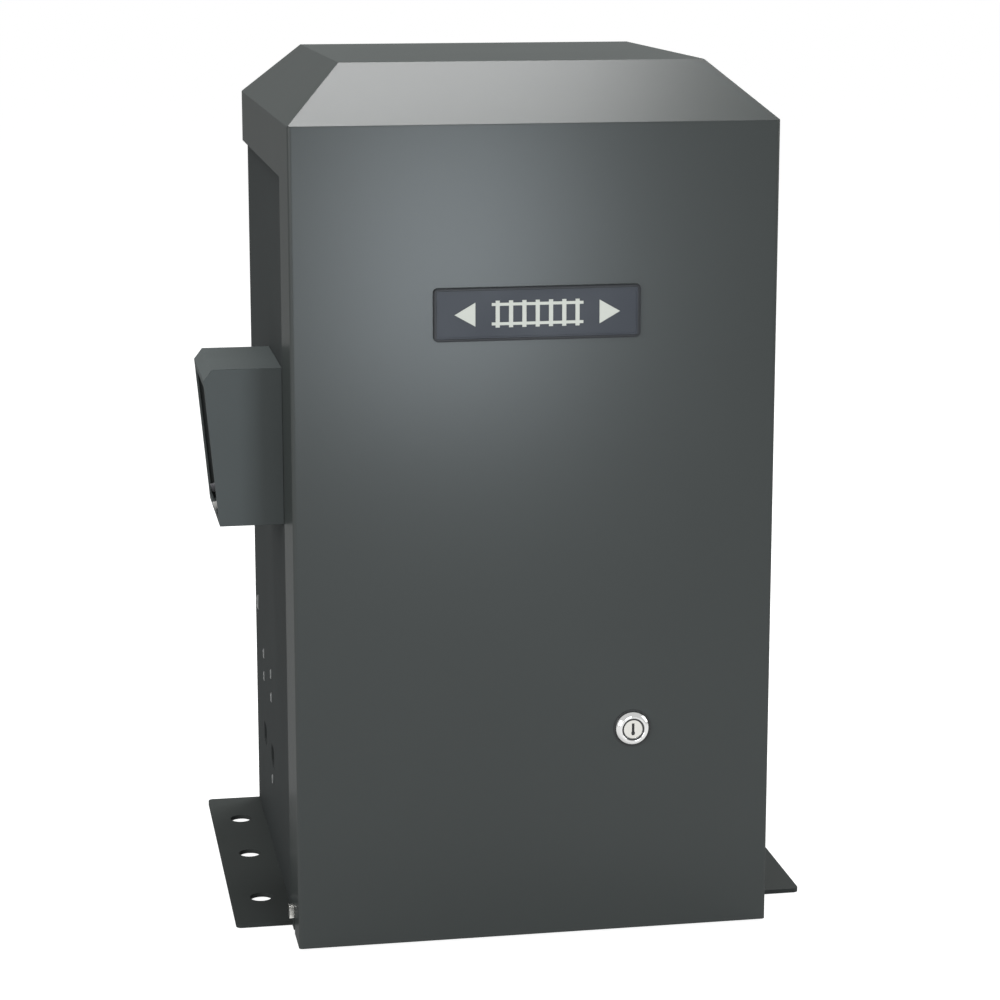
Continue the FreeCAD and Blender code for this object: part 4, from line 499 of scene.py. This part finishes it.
def shelf_bolts():
    """Bolts of the motor shelf on its posts and its flange, and of the motor's foot."""
    low, high = span("motor_shelf")
    rear_y, post_y = 22 * MM, low.y + 14 * MM
    places = [(Vector((x, rear_y, high.z)), Z) for x in (low.x + 30 * MM, high.x - 10 * MM)]
    places += [(Vector((x, post_y, high.z)), Z) for x in (low.x + 17 * MM, high.x - 14 * MM)]
    fasteners("shelf_bolts", hex_head, 10 * MM, places)
    foot_top = span("motor_stator")[0].z + 4 * MM
    middle_y, half_pitch = JOINT_AT["motor_spin"][1], 56 * MM
    fasteners("motor_foot_bolts", hex_head, 10 * MM,
              [(Vector((x, middle_y + way * half_pitch, foot_top)), Z) for way in (-1, 1)
               for x in (-44 * MM, 32 * MM)])


def box_screws():
    """Heads inside the left wall that hold the side box."""
    low, high = span("outlet_box")
    inner = span("left_side_wall")[0].x + 2 * MM
    inset, top_inset = 9 * MM, 12 * MM
    fasteners("box_screws", pan_head, 4 * MM,
              [(Vector((inner, y, z)), X) for y in (low.y + inset, high.y - inset)
               for z in (low.z + inset, high.z - top_inset)])


def control_details():
    """Screw heads, nuts, lamps, chips and chip legs on the control board."""
    low, high = span("control_board")
    terminals_low, terminals_high = span("board_terminals")
    pitch, in_from_end = 7.5 * MM, 3.2 * MM
    places = []
    for start, count in ((14 * MM, 14), (127 * MM, 6)):
        places += [(Vector((low.x + start + in_from_end + pitch * k, terminals_low.y,
                            terminals_high.z - in_from_end)), -Y) for k in range(count)]
    fasteners("terminal_screws", pan_head, 2.1 * MM, places, material="tinned_pads")
    inset = 6 * MM
    posts = [(Vector((x, low.y, z)), -Y) for x in (low.x + inset, high.x - inset)
             for z in (low.z + inset, high.z - inset)]
    fasteners("board_nuts", hex_head, 5.5 * MM, posts)
    bm = bmesh.new()
    lamp_profile = [(0, 0), (1.5 * MM, 0), (1.5 * MM, 2.2 * MM), (1.1 * MM, 3.2 * MM),
                    (0, 3.6 * MM)]
    for k in range(9):
        made = lathe(bm, lamp_profile, 12)
        at = Vector((low.x + 20 * MM + 6 * MM * k, low.y, low.z + 28.5 * MM))
        bmesh.ops.transform(bm, matrix=Matrix.Translation(at) @ turned_to(-Y), verts=made)
    new_object("board_lamps", bm, "led_green", "frame")
    bm = bmesh.new()
    for k in range(14):
        for row in range(2):
            x = low.x + 62 * MM + 5.2 * MM * k
            z = low.z + 48.5 * MM + 6 * MM * row
            block(bm, (x, low.y - 1.1 * MM, z), (x + 3.2 * MM, low.y, z + 1.7 * MM))
    new_object("board_chips", bm, "black_plastic", "frame")
    bm = bmesh.new()
    for row_z in (32 * MM, 56.5 * MM):
        for k in range(10):
            x, z = low.x + 121.5 * MM + 2.1 * MM * k, low.z + row_z
            block(bm, (x, low.y - 0.8 * MM, z), (x + 0.9 * MM, low.y, z + 1.8 * MM))
    new_object("chip_legs", bm, "tinned_pads", "frame")


def contactor_details():
    """Clamp screws above and below each contactor, and a bare white field on its nose."""
    low, high = span("contactors")
    width, side_margin, end_margin, pitch = 42 * MM, 10 * MM, 7 * MM, 12 * MM
    screws, fields = [], bmesh.new()
    for left in (low.x, high.x - width):
        for z in (low.z + end_margin, high.z - end_margin):
            screws += [(Vector((left + 9 * MM + pitch * k, high.y - 30 * MM, z)), -Y)
                       for k in range(3)]
        block(fields, (left + side_margin, low.y - 0.4 * MM, low.z + 40 * MM),
              (left + width - side_margin, low.y + 0.1 * MM, low.z + 52 * MM))
    fasteners("contactor_screws", pan_head, 3.2 * MM, screws, material="tinned_pads")
    new_object("contactor_fields", fields, "label_paper", "frame")


def ring_of(bm, loops):
    """Skins successive closed loops of points, the last one back to the first."""
    rows = [[bm.verts.new(point) for point in loop] for loop in loops]
    for near, far in zip(rows, rows[1:] + rows[:1]):
        for k in range(len(near)):
            after = (k + 1) % len(near)
            bm.faces.new((near[k], near[after], far[after], far[k]))


def name_plate_rim(width=1.7 * MM, rise=0.45 * MM, corner=3 * MM, steps=6):
    """A thin dark frame round the name plate."""
    low, high = span("name_plate")
    middle, half = (low + high) / 2, (high - low) / 2

    def outline(inset, y):
        """The plate's outline with round corners, drawn inwards by inset."""
        r = corner - inset
        points = []
        for quarter, (sign_x, sign_z) in enumerate(((1, 1), (-1, 1), (-1, -1), (1, -1))):
            centre = Vector((middle.x + sign_x * (half.x - corner), y,
                             middle.z + sign_z * (half.z - corner)))
            for k in range(steps + 1):
                angle = math.pi / 2 * (quarter + k / steps)
                points.append(centre + Vector((r * math.cos(angle), 0, r * math.sin(angle))))
        return points

    bm = bmesh.new()
    face, overhang, fold = low.y, 0.2 * MM, 0.3 * MM
    ring_of(bm, [outline(-overhang, face + 1.0 * MM), outline(-overhang, face - rise * 0.6),
                 outline(fold, face - rise), outline(width - fold, face - rise),
                 outline(width, face - rise * 0.4), outline(width, face + fold)])
    new_object("name_plate_frame", bm, "name_plate_rim", "cover")


def lock_trim():
    """A rounded chrome ring on the lock's head; a black gasket behind it, which paints the dark
    shadow round the head; a black ring that paints the shade and dark reflection of the gap
    round the cylinder; and black blocks that paint the shade in the keyway. Profiles are
    (radius, height) in mm."""
    low, high = span("lock_plug")
    centre = Vector(((low.x + high.x) / 2, span("hood")[0].y, (low.z + high.z) / 2))
    bezel = [(12.4, 0.0), (12.4, 1.0), (12.15, 1.6), (11.5, 2.4), (10.7, 3.2), (9.9, 3.75),
             (9.1, 4.05), (8.4, 4.1), (7.9, 3.95), (7.65, 3.5), (7.6, 0.0)]

    def turned_ring(name, profile, material, steps=64):
        loops = [[centre + Vector((r * MM * math.cos(2 * math.pi * k / steps), -h * MM,
                                   r * MM * math.sin(2 * math.pi * k / steps)))
                  for k in range(steps)] for r, h in profile]
        bm = bmesh.new()
        ring_of(bm, loops)
        new_object(name, bm, material, "cover", 50)

    turned_ring("lock_ring", bezel, "lock_chrome")
    # a black gasket ring that paints the dark shadow round the lock's head
    turned_ring("lock_gasket_shadow", [(13.2, 0.0), (13.1, 0.5), (12.45, 0.6), (12.45, 0.0)],
                "black_plastic")
    # a black ring that paints the shade and dark reflection of the gap round the cylinder
    turned_ring("lock_gap_shade", [(7.62, 3.2), (7.62, 3.6), (6.62, 3.5), (6.62, 3.2)],
                "black_plastic")
    # black blocks that paint the shade in the keyway's hollow
    bm = bmesh.new()
    for half, z_low, z_high, front in ((0.85, -4.1, 4.1, -2.5), (1.5, -3.9, -1.6, -3.1)):
        block(bm, centre + Vector((-half, front, z_low)) * MM,
              centre + Vector((half, 2.0, z_high)) * MM)
    new_object("lock_keyway_shade", bm, "black_plastic", "lock_cylinder")


name_plate_rim()
lock_trim()
wall_screws()
base_bolts()
reducer_bolts()
shelf_bolts()
box_screws()
control_details()
contactor_details()


# ------------------------------------------------------------ stage, light and camera
def ray_mix(tree):
    """1 for the rays that should see the plain white background: camera, glossy, transmission."""
    path = tree.nodes.new("ShaderNodeLightPath")
    total = path.outputs["Is Camera Ray"]
    for kind in ("Is Glossy Ray", "Is Transmission Ray"):
        node = tree.nodes.new("ShaderNodeMath")
        node.operation = "MAXIMUM"
        tree.links.new(total, node.inputs[0])
        tree.links.new(path.outputs[kind], node.inputs[1])
        total = node.outputs[0]
    return total


def make_floor(grey=0.3, glow=0.88):
    """A floor that takes the object's shadow, and glows near white for the rays of ray_mix."""
    mesh = bpy.data.meshes.new("floor")
    reach = 30
    mesh.from_pydata([(-reach, -reach, 0), (reach, -reach, 0), (reach, reach, 0),
                      (-reach, reach, 0)], [], [(0, 1, 2, 3)])
    floor = bpy.data.objects.new("floor", mesh)
    floor.location.z = -0.0003
    bpy.context.scene.collection.objects.link(floor)
    material = bpy.data.materials.new("floor")
    material.use_nodes = True
    tree = material.node_tree
    bsdf = tree.nodes["Principled BSDF"]
    bsdf.inputs["Base Color"].default_value = (grey, grey, grey, 1)
    bsdf.inputs["Roughness"].default_value = 1.0
    bsdf.inputs["Specular IOR Level"].default_value = 0.0
    bsdf.inputs["Emission Color"].default_value = WHITE
    gain = tree.nodes.new("ShaderNodeMath")
    gain.operation = "MULTIPLY"
    gain.inputs[1].default_value = glow
    tree.links.new(ray_mix(tree), gain.inputs[0])
    tree.links.new(gain.outputs[0], bsdf.inputs["Emission Strength"])
    mesh.materials.append(material)
    floor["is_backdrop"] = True


def make_world(level=0.4):
    """A soft grey sky for the surfaces, and plain white for the rays of ray_mix."""
    world = bpy.data.worlds.new("world")
    bpy.context.scene.world = world
    world.use_nodes = True
    tree = world.node_tree
    soft = tree.nodes["Background"]
    soft.inputs["Color"].default_value = WHITE
    soft.inputs["Strength"].default_value = level
    white = tree.nodes.new("ShaderNodeBackground")
    white.inputs["Color"].default_value = WHITE
    white.inputs["Strength"].default_value = 1.0
    mix = tree.nodes.new("ShaderNodeMixShader")
    tree.links.new(ray_mix(tree), mix.inputs[0])
    tree.links.new(soft.outputs[0], mix.inputs[1])
    tree.links.new(white.outputs[0], mix.inputs[2])
    tree.links.new(mix.outputs[0], tree.nodes["World Output"].inputs["Surface"])


def lamp(name, at, target, size, power, colour=(1, 1, 1)):
    """A rectangular lamp that faces a point; the camera doesn't see it."""
    data = bpy.data.lights.new(name, "AREA")
    data.shape = "RECTANGLE"
    data.size, data.size_y = size
    data.energy = power
    data.color = colour
    light = bpy.data.objects.new(name, data)
    light.location = at
    light.rotation_euler = (Vector(target) - Vector(at)).to_track_quat("-Z", "Y").to_euler()
    light.visible_camera = False
    bpy.context.scene.collection.objects.link(light)


make_floor()
make_world()
lamp("sheen_on_front", (0.10, -1.23, 0.35), (-0.08, -0.187, 0.48), (0.22, 0.32), 3.3,
     (0.84, 0.93, 1.0))
lamp("over_roof", (-0.23, 0.27, 2.35), (-0.15, -0.16, 0.58), (1.5, 0.4), 48)
lamp("front_fill", (-0.9, -2.2, 0.25), (0, 0, 0.2), (0.8, 0.8), 4)
lamp("left_fill", (-2.3, -1.7, 0.9), (-0.1, 0, 0.35), (1.2, 1.2), 33)
lamp("rear_fill", (1.2, 1.5, 2.0), (0, 0.05, 0.3), (1.2, 1.2), 40)
lamp("right_fill", (2.4, -0.5, 1.0), (0.1, 0, 0.35), (1.2, 1.2), 26)

AZIMUTH, PITCH = math.radians(10.11), math.radians(11.37)
camera_data = bpy.data.cameras.new("camera")
camera_data.sensor_width = 36
camera_data.lens = 98.0
camera_data.shift_y = -0.05
camera_data.clip_start, camera_data.clip_end = 0.05, 80
camera = bpy.data.objects.new("camera", camera_data)
camera.location = (-0.339, -1.947, 0.705)
ahead = Vector((math.sin(AZIMUTH) * math.cos(PITCH), math.cos(AZIMUTH) * math.cos(PITCH),
                -math.sin(PITCH)))
camera.rotation_euler = ahead.to_track_quat("-Z", "Y").to_euler()
bpy.context.scene.collection.objects.link(camera)
bpy.context.scene.camera = camera
bpy.context.scene.view_settings.view_transform = "Standard"

boxes = {"cad": cad_box, "shown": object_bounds()}
boxes = {key: [[float(v) for v in corner] for corner in box] for key, box in boxes.items()}
